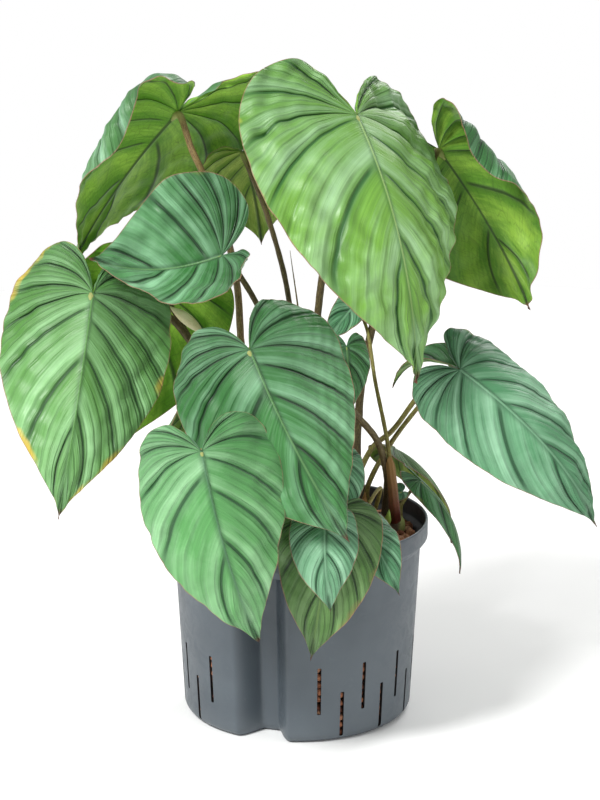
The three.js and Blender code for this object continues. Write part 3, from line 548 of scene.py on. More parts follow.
def under_finish(name):
    web, pale, vein_tone = UNDER[name]
    graph = Graph("leaf_under_" + name)
    phase, rise, side, rib, edge, reach, _, apart, groove = vein_masks(graph, 0.06)
    place = graph.place()
    streaks = graph.noise(graph.vector(graph.times(phase, 4.0), rise, side), 3.0, 4.0, 0.6, 0.4)
    mottle = graph.noise(place, 22, 3.0, 0.6, 0.6)
    between = graph.ramp(apart, 0.06, 0.4, 0.0, 0.6)
    light = graph.plus(between, graph.ramp(streaks, 0.35, 0.7, -0.15, 0.3))
    light = graph.plus(light, graph.ramp(mottle, 0.35, 0.68, -0.25, 0.3), clamp=True)
    # The web and its paler parts carry a painted glow of light shining through the leaf.
    colour = graph.mix(light, web, pale)
    net = graph.vector(graph.times(phase, 1.0), graph.times(rise, 5.0), side)
    branches = graph.ramp(graph.cells(net, 4.0, "DISTANCE_TO_EDGE"), 0.0, 0.06, 0.30, 0.0)
    colour = graph.mix(branches, colour, vein_tone)
    colour = graph.mix(graph.times(groove, 0.9), colour, vein_tone)
    on_rib = graph.times(graph.ramp(rib, 0.8, 2.4, 0.85, 0.0), graph.ramp(reach, -0.03, 0.01))
    colour = graph.mix(on_rib, colour, vein_tone)
    colour = worn_ends(graph, colour, edge, reach, place)
    height = graph.plus(graph.times(streaks, 0.7), graph.times(groove, 0.6))
    grain = graph.bump(graph.noise(place, 1000, 2.0), 0.00015, 0.6)
    normal = graph.bump(height, 0.0008, 0.8, grain)
    return graph.finish(colour, graph.ramp(mottle, 0.3, 0.7, 0.52, 0.68), normal, sheen=0.1)


def stem_finish(name, young, old, foot, speck, roughness=0.5):
    """Bark of a stalk: streaked between two tones, darker at its foot and pale green where it meets the
    blade.
    """
    graph = Graph(name)
    around, across, along = graph.field("stem_place")
    share = graph.number("stem_share")
    streaks = graph.noise(graph.vector(around, across, graph.times(along, 0.12)), 1.6, 4.0, 0.65)
    blotches = graph.noise(graph.vector(around, across, graph.times(along, 0.6)), 0.9, 3.0, 0.6)
    colour = graph.mix(graph.ramp(streaks, 0.35, 0.66), young, old)
    colour = graph.layer(colour, foot, blotches, 0.45, 0.66, 0.0, 0.55)
    colour = graph.layer(colour, foot, share, 0.0, 0.3, 0.8, 0.0)
    colour = graph.layer(colour, "a2ac62", share, 0.94, 0.985, 0.0, 0.8)
    dots = graph.cells(graph.vector(around, across, graph.times(along, 0.35)), 1.4)
    colour = graph.layer(colour, speck, dots, 0.1, 0.24, 0.55, 0.0)
    height = graph.plus(graph.times(streaks, 0.8), graph.times(dots, 0.25))
    return graph.finish(colour, graph.ramp(streaks, 0.3, 0.7, roughness, roughness + 0.2),
                        graph.bump(height, 0.0006, 0.9))


def pot_finish(name, dark, light, scuffed):
    graph = Graph(name)
    place = graph.place()
    clouds = graph.noise(place, 7, 3.0, 0.6)
    scuffs = graph.noise(place, 60, 5.0, 0.7, 1.2)
    _, _, height = graph.node("ShaderNodeSeparateXYZ", place).outputs
    colour = graph.mix(graph.ramp(clouds, 0.3, 0.7), dark, light)
    colour = graph.layer(colour, scuffed, height, 0.0, 0.03, 0.2, 0.0)
    colour = graph.layer(colour, scuffed, scuffs, 0.6, 0.75, 0.0, 0.2)
    grain = graph.noise(place, 1500, 2.0)
    relief = graph.bump(grain, 0.00008, 0.7, graph.bump(clouds, 0.0012, 0.25))
    return graph.finish(colour, graph.ramp(scuffs, 0.35, 0.7, 0.38, 0.55), relief)


def clay_finish():
    graph = Graph("fired_clay")
    place = graph.place()
    tone = graph.number("tone")
    spots = graph.noise(place, 420, 4.0, 0.7)
    colour = graph.mix(graph.ramp(tone, 0.0, 0.55), "5a3425", "a06a4e")
    colour = graph.layer(colour, "c2967a", tone, 0.6, 1.0)
    colour = graph.layer(colour, "4a2c20", spots, 0.5, 0.68, 0.0, 0.5)
    pores = graph.cells(place, 900)
    height = graph.plus(graph.times(spots, 0.8), graph.times(pores, 0.5))
    return graph.finish(colour, 0.92, graph.bump(height, 0.0009, 0.9), specular=0.2)


def sheath_finish(name, tone, dark, pale, end):
    """A dry papery or waxy skin with fine lines along it, turning to another colour at its far end."""
    graph = Graph(name)
    around, across, along = graph.field("stem_place")
    lines = graph.noise(graph.vector(around, across, graph.times(along, 0.05)), 3.5, 4.0, 0.7)
    blotches = graph.noise(graph.place(), 60, 3.0)
    colour = graph.mix(graph.ramp(lines, 0.35, 0.65), dark, tone)
    colour = graph.layer(colour, pale, blotches, 0.5, 0.7, 0.0, 0.5)
    colour = graph.layer(colour, end, along, 5.0, 60.0, 0.0, 0.9)
    return graph.finish(colour, graph.ramp(lines, 0.3, 0.7, 0.5, 0.72), graph.bump(lines, 0.0006, 0.9))


UPPER_FINISHES = {name: upper_finish(name) for name in UPPER}
UNDER_FINISHES = {name: under_finish(name) for name in UNDER}
STALK = stem_finish("stalk_bark", "706238", "4a3a22", "2f2218", "94885a")
THIN_STALK = stem_finish("thin_stalk_bark", "8e8e42", "6c5a2c", "52301e", "aaa264")
TAN_STALK = stem_finish("tan_stalk_bark", "a58a58", "6f5a3a", "5c4030", "b8a27a")
RHIZOME_BARK = stem_finish("rhizome_bark", "5f5136", "3f3325", "2d241b", "8a7a58", 0.65)
RED_SHEATH = sheath_finish("red_sheath", "6a2a1c", "3a1610", "8e4426", "94703a")
DRY_SHEATH = sheath_finish("dry_sheath", "a88a62", "6a4c34", "c8b48c", "7a6a4a")
# The young roll's cream is brightened past its own colour: painted light on a roll that sits in shade.
CREAM_ROLL_PAINTED_LIGHT = sheath_finish("cream_roll_painted_light", "f0e8c0", "d4c88e", "fbf4d6", "efe6bc")
LIME_ROLL = sheath_finish("lime_roll", "9cc84e", "5c9220", "c4e088", "b4d868")

# ---- blades ----


def catmull(points, share):
    """A smooth curve through points, at shares of the way along it."""
    place = np.clip(share, 0, 1) * (len(points) - 1)
    i = np.minimum(place.astype(int), len(points) - 2)
    w = (place - i)[..., None]
    a, b, c, d = (points[np.clip(i + k, 0, len(points) - 1)] for k in (-1, 0, 1, 2))
    return 0.5 * (2 * b + (c - a) * w + (2 * a - 5 * b + 4 * c - d) * w ** 2
                  + (3 * b - a - 3 * c + d) * w ** 3)


def blade_frame(leaf):
    """The blade's length, its up direction and the point that its midrib bows to."""
    base, tip = leaf["base"], leaf["tip"]
    length = np.linalg.norm(tip - base)
    along = (tip - base) / length
    azimuth, elevation = np.radians(leaf["face"])
    face = np.array([math.cos(azimuth) * math.cos(elevation), math.sin(azimuth) * math.cos(elevation),
                     math.sin(elevation)])
    up = unit(face - along * (face @ along))
    right = np.cross(along, up)
    bow = (base + tip) / 2 + up * 2 * leaf["arch"] * length + right * 2 * leaf["sweep"] * length
    return length, up, bow


def joint_frame(leaf):
    """The directions along and out of the blade where the stalk meets it."""
    _, up, bow = blade_frame(leaf)
    tangent = unit(bow - leaf["base"])
    return tangent, unit(up - tangent * (up @ tangent))


def flat_point(u, v, leaf, length):
    """Where on the flat blade the vein u (0 tip, 1 sinus) is at v (0 midrib, 1 margin)."""
    margin = catmull(OUTLINE, u)
    behind = margin[..., 1] < 0
    margin[..., 1] = np.where(behind, margin[..., 1] * leaf["lobe"] / OUTLINE_LOBE, margin[..., 1])
    start = np.stack([np.zeros_like(u), np.clip(1 - u / BASAL_VEINS, 0, 1) ** VEIN_SPACING], -1)
    aspect = leaf["width"] / 2 / length
    run = margin - start
    bow = VEIN_BOW * np.clip(u * 6, 0, 1) * np.clip((1 - u) * 4, 0.15, 1)
    control = (start + margin) / 2 + np.stack([run[..., 1] * bow / aspect, -run[..., 0] * aspect * bow], -1)
    w = v[..., None]
    return (1 - w) ** 2 * start + 2 * w * (1 - w) * control + w ** 2 * margin


def blade_surface(u, v, side, leaf):
    """Points of the blade's middle surface, and how far across and along they are on the flat blade."""
    length, up, bow = blade_frame(leaf)
    base, tip = leaf["base"], leaf["tip"]
    half = 1 if side > 0 else 0
    flat = flat_point(u, v, leaf, length)
    x = flat[..., 0] * leaf["width"] / 2
    y = np.clip(flat[..., 1], 0, 1)[..., None]
    point = (1 - y) ** 2 * base + 2 * y * (1 - y) * bow + y ** 2 * tip
    tangent = unit((1 - y) * (bow - base) + y * (tip - bow))
    normal = unit(up - tangent * np.sum(tangent * up, -1, keepdims=True))
    back = np.clip(-flat[..., 1], 0, None)[..., None] * length
    bend_rate = (math.radians(leaf["lift"][half]) or 1e-6) / (leaf["lobe"] * length)
    turned = bend_rate * back
    point = point - tangent * np.sin(turned) / bend_rate + normal * (1 - np.cos(turned)) / bend_rate
    normal, tangent = (normal * np.cos(turned) + tangent * np.sin(turned),
                       tangent * np.cos(turned) - normal * np.sin(turned))
    twist = math.radians(leaf["twist"]) * y
    across = np.cross(tangent, normal)
    across, normal = (across * np.cos(twist) + normal * np.sin(twist),
                      normal * np.cos(twist) - across * np.sin(twist))
    fold = math.radians(leaf["fold"][half])
    curl = math.radians(leaf["curl"][half])
    flatter = 1 - 0.5 * y[..., 0] ** 2
    aside = np.zeros_like(x)
    rise = np.zeros_like(x)
    for i in range(CURL_STEPS):
        out = np.abs(x) / (leaf["width"] / 2) * (i + 0.5) / CURL_STEPS
        slope = (fold + curl * out ** leaf["curl_power"]) * flatter
        aside += np.cos(slope) / CURL_STEPS
        rise += np.sin(slope) / CURL_STEPS
    point = point + across * (side * x * aside)[..., None] + normal * (x * rise)[..., None]
    return point, x, flat[..., 1]


def blade_grid(leaf, rows, columns):
    """The whole blade as one grid of shared points: places, shares and faces."""
    u, v = np.meshgrid(np.linspace(0, 1, rows + 1), np.linspace(0, 1, columns + 1), indexing="ij")
    places, data, grids = [], [], []
    for side in (1, -1):
        point, x, y = blade_surface(u, v, side, leaf)
        places.append(point.reshape(-1, 3))
        data.append(np.stack([u, v, np.full_like(u, side), x, y], -1).reshape(-1, 5))
        grids.append(np.arange(u.size).reshape(u.shape) + (side < 0) * u.size)
    places, data = np.vstack(places), np.vstack(data)
    _, first, shared = np.unique(np.round(places, 4), axis=0, return_index=True, return_inverse=True)
    shared = shared.ravel()
    faces = []
    for grid, turned in zip(grids, (False, True)):
        quads = np.stack([grid[:-1, :-1], grid[1:, :-1], grid[1:, 1:], grid[:-1, 1:]], -1).reshape(-1, 4)
        quads = shared[quads]
        faces.append(quads[:, ::-1] if turned else quads)
    margin = [np.array(shared[grid[:, -1]]) for grid in grids]
    return places[first], data[first], np.vstack(faces), margin


def clean_faces(quads):
    """Quads whose corners fall together become triangles, and the ones with no area go."""
    kept = []
    for quad in quads.tolist():
        face = [c for i, c in enumerate(quad) if c != quad[i - 1]]
        if len(set(face)) > 2:
            kept.append(face)
    return kept


def point_normals(places, faces):
    total = np.zeros_like(places)
    triangles = np.vstack([faces[:, [0, 1, 2]], faces[:, [0, 2, 3]]])
    across = np.cross(places[triangles[:, 1]] - places[triangles[:, 0]],
                      places[triangles[:, 2]] - places[triangles[:, 0]])
    for k in range(3):
        np.add.at(total, triangles[:, k], across)
    return unit(total + 1e-12)


def blade_relief(data, places, look, seed, width):
    """Heights of the upper side and of the underside, and the phase of the main veins, at each point."""
    u, v, side, x, y = data.T
    veins, depth, wave = look
    shift = np.where(side > 0, 0.0, 0.37)
    phase = veins * u + 0.22 * np.sin(2 * math.pi * (1.7 * u + shift)) + 0.5 * shift
    apart = np.abs(phase % 1 - 0.5)
    spread = smooth(v, 0.0, 0.3) * (1 - 0.55 * smooth(v, 0.75, 1.0)) * smooth(u, 0.0, 0.16)
    spread *= 1 - 0.75 * smooth(u, 0.72, 0.95)
    quilt = depth * spread * (np.sin(math.pi * apart) ** 0.6 - 0.6)
    uneven = 0.35 * depth * wavy(places, seed, 34) * smooth(v, 0.1, 0.6)
    uneven += 0.18 * depth * wavy(places, seed + 1, 15) * smooth(v, 0.2, 0.7)
    edge_wave = wave * smooth(v, 0.6, 1.0) * (1 - 0.7 * smooth(u, 0.8, 1.0))
    edge_wave *= ripple(u, seed + int(side[0] > 0), 5)
    rib_width = 0.008 * width + 0.8
    along_rib = smooth(y, -0.02, 0.02) * (1 - 0.8 * np.clip(y, 0, 1))
    valley = 1.1 * np.exp(-(x / (1.6 * rib_width)) ** 2) * along_rib
    keel = (0.006 * width + 0.6) * np.exp(-(x / rib_width) ** 2) * along_rib
    ribs = 0.22 * math.sqrt(depth) * np.exp(-(apart / 0.07) ** 2)
    ribs = ribs * smooth(v, 0.02, 0.1) * (1 - smooth(v, 0.7, 1))
    shape = quilt + uneven + edge_wave
    return shape - valley, shape - keel - ribs, phase


def make_blade(order, name, leaf):
    upper, under, veins, depth, wave = LOOKS[name]
    length, up, _ = blade_frame(leaf)
    rows = int(np.clip(max(length * ROWS_PER_MM, veins * ROWS_PER_VEIN), FEWEST_ROWS, MOST_ROWS))
    columns = int(np.clip(leaf["width"] * COLUMNS_PER_MM, FEWEST_COLUMNS, MOST_COLUMNS))
    places, data, quads, margin = blade_grid(leaf, rows, columns)
    normals = point_normals(places, quads)
    if np.mean(normals @ up) < 0:
        quads, normals = quads[:, ::-1], -normals
    top, bottom, phase = blade_relief(data, places, (veins, depth, wave), 40 + 7 * order, leaf["width"])
    half = SHEET_THICKNESS / 2 * (1 - 0.45 * smooth(data[:, 1], 0.9, 1.0))
    above_sheet = places + normals * (top + half)[:, None]
    below_sheet = places + normals * (bottom - half)[:, None]
    n = len(places)
    top_faces = clean_faces(quads)
    under_faces = clean_faces(quads[:, ::-1] + n)
    loop = np.concatenate([margin[0], margin[1][::-1]])
    loop = loop[np.concatenate([[True], loop[1:] != loop[:-1]])]
    if loop[0] == loop[-1]:
        loop = loop[:-1]
    following = np.roll(loop, -1)
    edge_faces = [[a, b, b + n, a + n] for a, b in zip(loop.tolist(), following.tolist())]
    forward = {(f[i - 1], f[i]) for f in top_faces for i in range(len(f))}
    if (edge_faces[0][0], edge_faces[0][1]) in forward:
        edge_faces = [f[::-1] for f in edge_faces]
    _, v, side, x, y = data.T
    place = np.stack([phase, v, side * SIDE_MARK], -1)
    reach = np.stack([np.where(y < 0, x + 40 * -y, x), (1 - v) * leaf["width"] / 2, y], -1)
    piece = mesh_object(
        "leaf_" + name, np.vstack([above_sheet, below_sheet]), top_faces + under_faces + edge_faces,
        [UPPER_FINISHES[upper], UNDER_FINISHES[under]],
        [0] * len(top_faces) + [1] * len(under_faces) + [0] * len(edge_faces), BLADE_CREASE,
        {"leaf_place": np.vstack([place, place]), "leaf_reach": np.vstack([reach, reach])})
    settle(piece, "leaf", "blade_" + name)


# ---- stalks and other round pieces ----


CURVE_STEPS = 60
ANY_SIDE = [0.31, 0.9, 0.3]  # a direction that no stalk starts along


def curve_points(points, count):
    """Evenly spaced points on the centripetal Catmull-Rom curve through points."""
    points = [np.asarray(p, float) for p in points]
    points = [2 * points[0] - points[1], *points, 2 * points[-1] - points[-2]]
    share = np.linspace(0, 1, CURVE_STEPS)[:, None]
    dense = []
    for a, b, c, d in zip(points, points[1:], points[2:], points[3:]):
        ab, bc, cd = (math.sqrt(np.linalg.norm(q - p)) for p, q in ((a, b), (b, c), (c, d)))
        start = ((b - a) / ab - (c - a) / (ab + bc) + (c - b) / bc) * bc
        end = ((c - b) / bc - (d - b) / (bc + cd) + (d - c) / cd) * bc
        dense.append(b + start * share + (-3 * b + 3 * c - 2 * start - end) * share ** 2
                     + (2 * b - 2 * c + start + end) * share ** 3)
    dense = np.vstack(dense)
    gone = np.concatenate([[0], np.cumsum(np.linalg.norm(np.diff(dense, axis=0), axis=1))])
    wanted = np.linspace(0, gone[-1], count)
    return np.stack([np.interp(wanted, gone, dense[:, k]) for k in range(3)], -1), gone[-1]


def round_piece(name, points, radius_at, materials, sides=22, pitch=2.0, uneven=0.05, seed=1):
    """A closed round bar along a curve. radius_at gives its radius at shares of the way along."""
    _, length = curve_points(points, 2)
    count = max(12, int(length / pitch))
    centres, _ = curve_points(points, count)
    tangents = unit(np.gradient(centres, axis=0))
    normal = unit(np.cross(tangents[0], ANY_SIDE))
    share = np.linspace(0, 1, count)
    angles = np.linspace(0, 2 * math.pi, sides, endpoint=False)
    vertices, fields, shares = [], [], []
    for i, (centre, tangent) in enumerate(zip(centres, tangents)):
        normal = unit(normal - tangent * (normal @ tangent))
        across = np.cross(tangent, normal)
        ring = np.cos(angles)[:, None] * normal + np.sin(angles)[:, None] * across
        radius = radius_at(share[i])
        vertices.append(centre + ring * radius)
        fields.append(np.stack([np.cos(angles) * radius, np.sin(angles) * radius,
                                np.full(sides, share[i] * length)], -1))
        shares.append(np.full(sides, share[i]))
    vertices = np.vstack(vertices)
    around = vertices - np.repeat(centres, sides, axis=0)
    vertices = vertices + around * (uneven * wavy(vertices, seed, 16))[:, None]
    vertices = np.vstack([vertices, centres[0], centres[-1]])
    fields = np.vstack(fields + [[[0, 0, 0], [0, 0, length]]])
    shares = np.concatenate(shares + [[0, 1]])
    faces = []
    for i in range(count - 1):
        for j in range(sides):
            k = (j + 1) % sides
            faces.append([i * sides + j, i * sides + k, (i + 1) * sides + k, (i + 1) * sides + j])
    last = (count - 1) * sides
    for j in range(sides):
        k = (j + 1) % sides
        faces.append([count * sides, k, j])
        faces.append([count * sides + 1, last + j, last + k])
    return mesh_object(name, vertices, faces, materials, None, STEM_CREASE,
                       {"stem_place": fields, "stem_share": shares})


def rhizome_point(share):
    return np.array([*(RHIZOME_FROM + (RHIZOME_TO - RHIZOME_FROM) * share), GRANULE_LEVEL + RHIZOME_HEIGHT])


def rhizome_exit(at, lean):
    """Out of the rhizome's axis on the side that lean says."""
    angle = math.radians(lean)
    start = rhizome_point(at)
    return [start, start + np.array([0, math.sin(angle), math.cos(angle)]) * RHIZOME_RADIUS * 1.5]


THIN_STALKS = {"inner_back_small", "inner_front_small", "rim_front_right", "rim_right_back", "rim_right",
               "crown_small", "low_left_inner", "rim_front_inner", "right_front", "inner_right"}
TAN_STALKS = {"upper_left_back"}


def make_stalk(order, name, leaf):
    tangent, normal = joint_frame(leaf)
    thick, thin = leaf["radius"]
    joint = leaf["base"] - normal * (1.4 * thin)
    into_rib = leaf["base"] + tangent * (3.5 * thin) - normal * (0.95 * thin)
    points = [*rhizome_exit(leaf["at"], leaf["lean"]), *leaf["stalk"], joint, into_rib]
    length = curve_points(points, 2)[1]
    joint_share = 1 - 3.6 * thin / length

    def radius_at(share):
        radius = thick + (thin - thick) * share ** 0.6
        radius *= 1 + 0.45 * max(0.0, 1 - share * length / 26) ** 2
        radius *= 1 + 0.16 * math.exp(-((share - joint_share) * length / (2.4 * thin)) ** 2)
        beyond = max(0.0, (share - joint_share) / (1 - joint_share))
        return radius * (1 - 0.75 * beyond ** 1.5)

    finish = THIN_STALK if name in THIN_STALKS else TAN_STALK if name in TAN_STALKS else STALK
    piece = round_piece("petiole_" + name, points, radius_at, [finish], 20, 2.4, 0.04, 300 + order)
    settle(piece, "stalk", "stalk_" + name)


# ---- pot ----


def body_radius(z):
    return BASE_RADIUS + (BODY_TOP_RADIUS - BASE_RADIUS) * z / RIM_FOOT


def flute_depth(angles):
    turn = np.arctan2(np.sin(angles - FLUTE_AZIMUTH), np.cos(angles - FLUTE_AZIMUTH))
    beyond_floor = np.abs(turn) * BASE_RADIUS - FLUTE_FLOOR / 2
    side = np.clip(beyond_floor / (FLUTE_HALF_WIDTH - FLUTE_FLOOR / 2), 0, 1)
    return FLUTE_DEPTH * 0.5 * (1 + np.cos(math.pi * side))


def arc(centre, radius, start, end, steps):
    """Points of a round stretch of a profile, angles in degrees."""
    angles = np.radians(np.linspace(start, end, steps))
    return [(centre[0] + radius * math.cos(a), centre[1] + radius * math.sin(a)) for a in angles]


def pot_profile():
    """Radius, height and share of the flute: the outside from the middle of the underside to the lip, and
    the inside from there to the middle of the floor."""
    lip = WALL / 2
    foot = 1.2
    profile = [(0, foot, 1), (BASE_RADIUS - 3 * BASE_FILLET, foot, 1),
               (BASE_RADIUS - 2.6 * BASE_FILLET, 0, 1)]
    low = body_radius(0) - BASE_FILLET
    profile += [(r + body_radius(z) - body_radius(0), z, 1)
                for r, z in arc((low, BASE_FILLET), BASE_FILLET, -90, 0, 9)]
    profile += [(body_radius(z), z, 1) for z in np.linspace(BASE_FILLET + 6, RIM_FOOT - 5, 24)]
    rim_low = RIM_FOOT + RIM_SLOPE
    neck = body_radius(RIM_FOOT)
    profile += [(neck, RIM_FOOT - 1.6, 1), (neck + 0.1, RIM_FOOT - 0.5, 0.9), (neck + 0.3, RIM_FOOT, 0.0),
                (BODY_TOP_RADIUS + 1, RIM_FOOT + 0.7, 0)]
    profile += [(RIM_RADIUS - 0.9, rim_low - 1.0, 0), (RIM_RADIUS - 0.2, rim_low, 0),
                (RIM_RADIUS, rim_low + 1.2, 0), (RIM_RADIUS, POT_HEIGHT - 4.4, 0),
                (RIM_RADIUS, POT_HEIGHT - lip - 0.6, 0)]
    profile += [(r, z, 0) for r, z in arc((RIM_RADIUS - lip, POT_HEIGHT - lip), lip, 0, 180, 9)]
    ledge_head = LEDGE_FOOT + RIM_SLOPE
    inside = [(RIM_RADIUS - WALL, ledge_head + 1, 0), (RIM_RADIUS - WALL - 0.5, ledge_head - 0.2, 0)]
    inside += [(BODY_TOP_RADIUS - WALL + RIM_RUN * k, LEDGE_FOOT + RIM_SLOPE * k, 1 - k)
               for k in (0.7, 0.4, 0.1)]
    inside += [(BODY_TOP_RADIUS - WALL, LEDGE_FOOT - 0.6, 1)]
    inside += [(body_radius(z) - WALL, z, 1) for z in np.linspace(RIM_FOOT - 4, POT_FLOOR + BASE_FILLET, 16)]
    fillet = BASE_FILLET - WALL
    inside += [(r, z, 1) for r, z in arc((body_radius(0) - WALL - fillet, POT_FLOOR + fillet), fillet,
                                         -20, -90, 6)]
    return profile, inside + [(0, POT_FLOOR, 1)]


def turned_body(ends, rows, directions):
    """Points and faces of a body round the pot's axis, its flute pressed in. ends are the heights of its
    two middles, and rows are radius, height and share of the flute from the first to the second."""
    angles = np.linspace(0, 2 * math.pi, directions, endpoint=False)
    flute = flute_depth(angles)
    vertices = [np.array([[0, 0, ends[0]], [0, 0, ends[1]]])]
    for radius, z, share in rows:
        r = radius - share * flute * min(1.0, radius / BASE_RADIUS)
        vertices.append(np.stack([r * np.cos(angles), r * np.sin(angles), np.full(directions, z)], -1))
    faces = []
    for i in range(directions):
        k = (i + 1) % directions
        faces.append([0, 2 + k, 2 + i])
        for row in range(len(rows) - 1):
            a = 2 + row * directions
            faces.append([a + i, a + k, a + directions + k, a + directions + i])
        last = 2 + (len(rows) - 1) * directions
        faces.append([1, last + i, last + k])
    return np.vstack(vertices), faces


def pot_mesh(materials):
    outside, inside = pot_profile()
    profile = outside + inside
    vertices, faces = turned_body((profile[0][1], profile[-1][1]), profile[1:-1], POT_DIRECTIONS)
    # The inside takes the second finish, the near-black painted-shade copy of the plastic.
    finishes = ([0] * (len(outside) - 1) + [1] * len(inside)) * POT_DIRECTIONS
    return mesh_object("pot_shell", vertices, faces, materials, finishes)


def slots():
    """The lower end, the upper end and the direction of each slot, from the two rows in turn."""
    step = (360 - 2 * SLOT_BESIDE_FLUTE) / (SLOT_COUNT - 1)
    for i in range(SLOT_COUNT):
        low, high = SLOT_UPPER if i % 2 == 0 else SLOT_LOWER
        yield low, high, FLUTE_AZIMUTH + math.radians(SLOT_BESIDE_FLUTE + i * step)


def slot_cutters(materials):
    """One block for each slot, with its four corners rounded, joined in one mesh."""
    vertices, faces = [], []
    corner = 1.1
    for low, high, angle in slots():
        outward = np.array([math.cos(angle), math.sin(angle), 0])
        across = np.array([-math.sin(angle), math.cos(angle), 0])
        half, ring = SLOT_WIDTH / 2 - corner, []
        for centre, start in (((half, high - corner), 0), ((-half, high - corner), 90),
                              ((-half, low + corner), 180), ((half, low + corner), 270)):
            ring += arc(centre, corner, start, start + 90, 4)
        for radius in (body_radius(low) - 4 * WALL - BASE_FILLET, body_radius(high) + 2 * WALL):
            vertices += [outward * radius + across * x + np.array([0, 0, z]) for x, z in ring]
        n, first = len(ring), len(vertices) - 2 * len(ring)
        faces += [[first + k, first + (k + 1) % n, first + n + (k + 1) % n, first + n + k] for k in range(n)]
        faces += [[first + k for k in range(n)][::-1], [first + n + k for k in range(n)]]
    # Their faces give the cut slot walls the second finish, the near-black painted-shade copy.
    return mesh_object("slot_cutters", vertices, faces, materials, [1] * len(faces))


def make_pot():
    # The inside and the slot walls take a near-black copy of the slate plastic: painted shade.
    materials = [pot_finish("slate_plastic", "485057", "565f66", "6f777c"),
                 pot_finish("slate_plastic_painted_shade", "111415", "181c1e", "23282a")]
    pot = pot_mesh(materials)
    cutters = slot_cutters(materials)
    bpy.context.view_layer.update()
    cut = pot.modifiers.new("slots", "BOOLEAN")
    cut.operation = "DIFFERENCE"
    cut.solver = "EXACT"
    cut.object = cutters
    shape = bpy.data.meshes.new_from_object(pot.evaluated_get(bpy.context.evaluated_depsgraph_get()))
    pot.modifiers.clear()
    pot.data = shape
    bpy.data.objects.remove(cutters)
    shape.shade_smooth()
    shape.set_sharp_from_angle(angle=math.radians(POT_CREASE))
    settle(pot, "pot_plastic", "pot")


# ---- clay granules ----


def pebble_shapes(seed):
    """Unit pebbles: rough, slightly flattened balls."""
    ball = bmesh.new()
    bmesh.ops.create_icosphere(ball, subdivisions=PEBBLE_LEVEL, radius=1)
    points = np.array([v.co for v in ball.verts])
    faces = np.array([[v.index for v in f.verts] for f in ball.faces])
    ball.free()
    shapes = []
    for k in range(PEBBLE_SHAPES):
        rough = 1 + 0.10 * wavy(points, seed + k, 1.4) + 0.05 * wavy(points, seed + 50 + k, 0.55)
        shapes.append(points * rough[:, None] * np.array([1, 0.86, 0.78]))
    return shapes, faces


def random_turn(rng):
    q = unit(rng.normal(size=4))
    w, x, y, z = q
    return np.array([
        [1 - 2 * (y * y + z * z), 2 * (x * y - z * w), 2 * (x * z + y * w)],
        [2 * (x * y + z * w), 1 - 2 * (x * x + z * z), 2 * (y * z - x * w)],
        [2 * (x * z - y * w), 2 * (y * z + x * w), 1 - 2 * (x * x + y * y)]])


def pebble_piece(name, places, radii, material, seed):
    """All the pebbles at places, as one mesh."""
    rng = np.random.default_rng(seed)
    shapes, ball_faces = pebble_shapes(seed)
    vertices, faces, tones = [], [], []
    for k, (place, radius) in enumerate(zip(places, radii)):
        shape = shapes[rng.integers(len(shapes))]
        faces.append(ball_faces + k * len(shape))
        vertices.append(shape @ random_turn(rng).T * radius + place)
        tones.append(np.full(len(shape), rng.uniform()))
    return mesh_object(name, np.vstack(vertices), np.vstack(faces), [material], None, None,
                       {"tone": np.concatenate(tones)})


def inner_radius(angle, z):
    ledge = min(max((z - LEDGE_FOOT) / RIM_SLOPE, 0.0), 1.0)
    return body_radius(min(z, RIM_FOOT)) + RIM_RUN * ledge - WALL - float(flute_depth(np.array(angle)))


def surface_level(radius):
    return GRANULE_LEVEL - GRANULE_DOME * (radius / BODY_TOP_RADIUS) ** 2


def top_pebbles():
    """Places and radii of the pebbles in the top layer."""
    rng = np.random.default_rng(11)
    places, radii = [], []
    rows = int(RIM_RADIUS / (TOP_PITCH * ROW_SHARE)) + 1
    for i in range(-rows, rows + 1):
        for j in range(-rows, rows + 1):
            x = TOP_PITCH * (j + 0.5 * (i % 2)) + rng.uniform(-2, 2)
            y = TOP_PITCH * ROW_SHARE * i + rng.uniform(-2, 2)
            radius = rng.uniform(4.3, 6.4)
            lift = rng.uniform(-1.6, 1.2)
            away, angle = math.hypot(x, y), math.atan2(y, x)
            if away < inner_radius(angle, GRANULE_LEVEL - BED_BELOW) - 0.95 * radius:
                places.append([x, y, surface_level(away) - 0.62 * radius + lift])
                radii.append(radius)
    return places, radii


def slot_pebbles():
    """Places and radii of the pebbles that show through the slots."""
    rng = np.random.default_rng(23)
    places, radii = [], []
    for low, high, middle in slots():
        for z in np.arange(max(low, POT_FLOOR + 6) - 1, high + 4, SLOT_PITCH):
            for aside in (-1, 0, 1):
                radius = rng.uniform(3.8, 4.8)
                angle = middle + (aside * SLOT_PITCH + rng.uniform(-1, 1)) / body_radius(z)
                pressed = 0.7 if aside == 0 else 1.0
                away = inner_radius(angle, z) - radius * pressed - max(0.0, 10 - z) * 0.4
                places.append([away * math.cos(angle), away * math.sin(angle), z + rng.uniform(-1, 1)])
                radii.append(radius)
    return places, radii


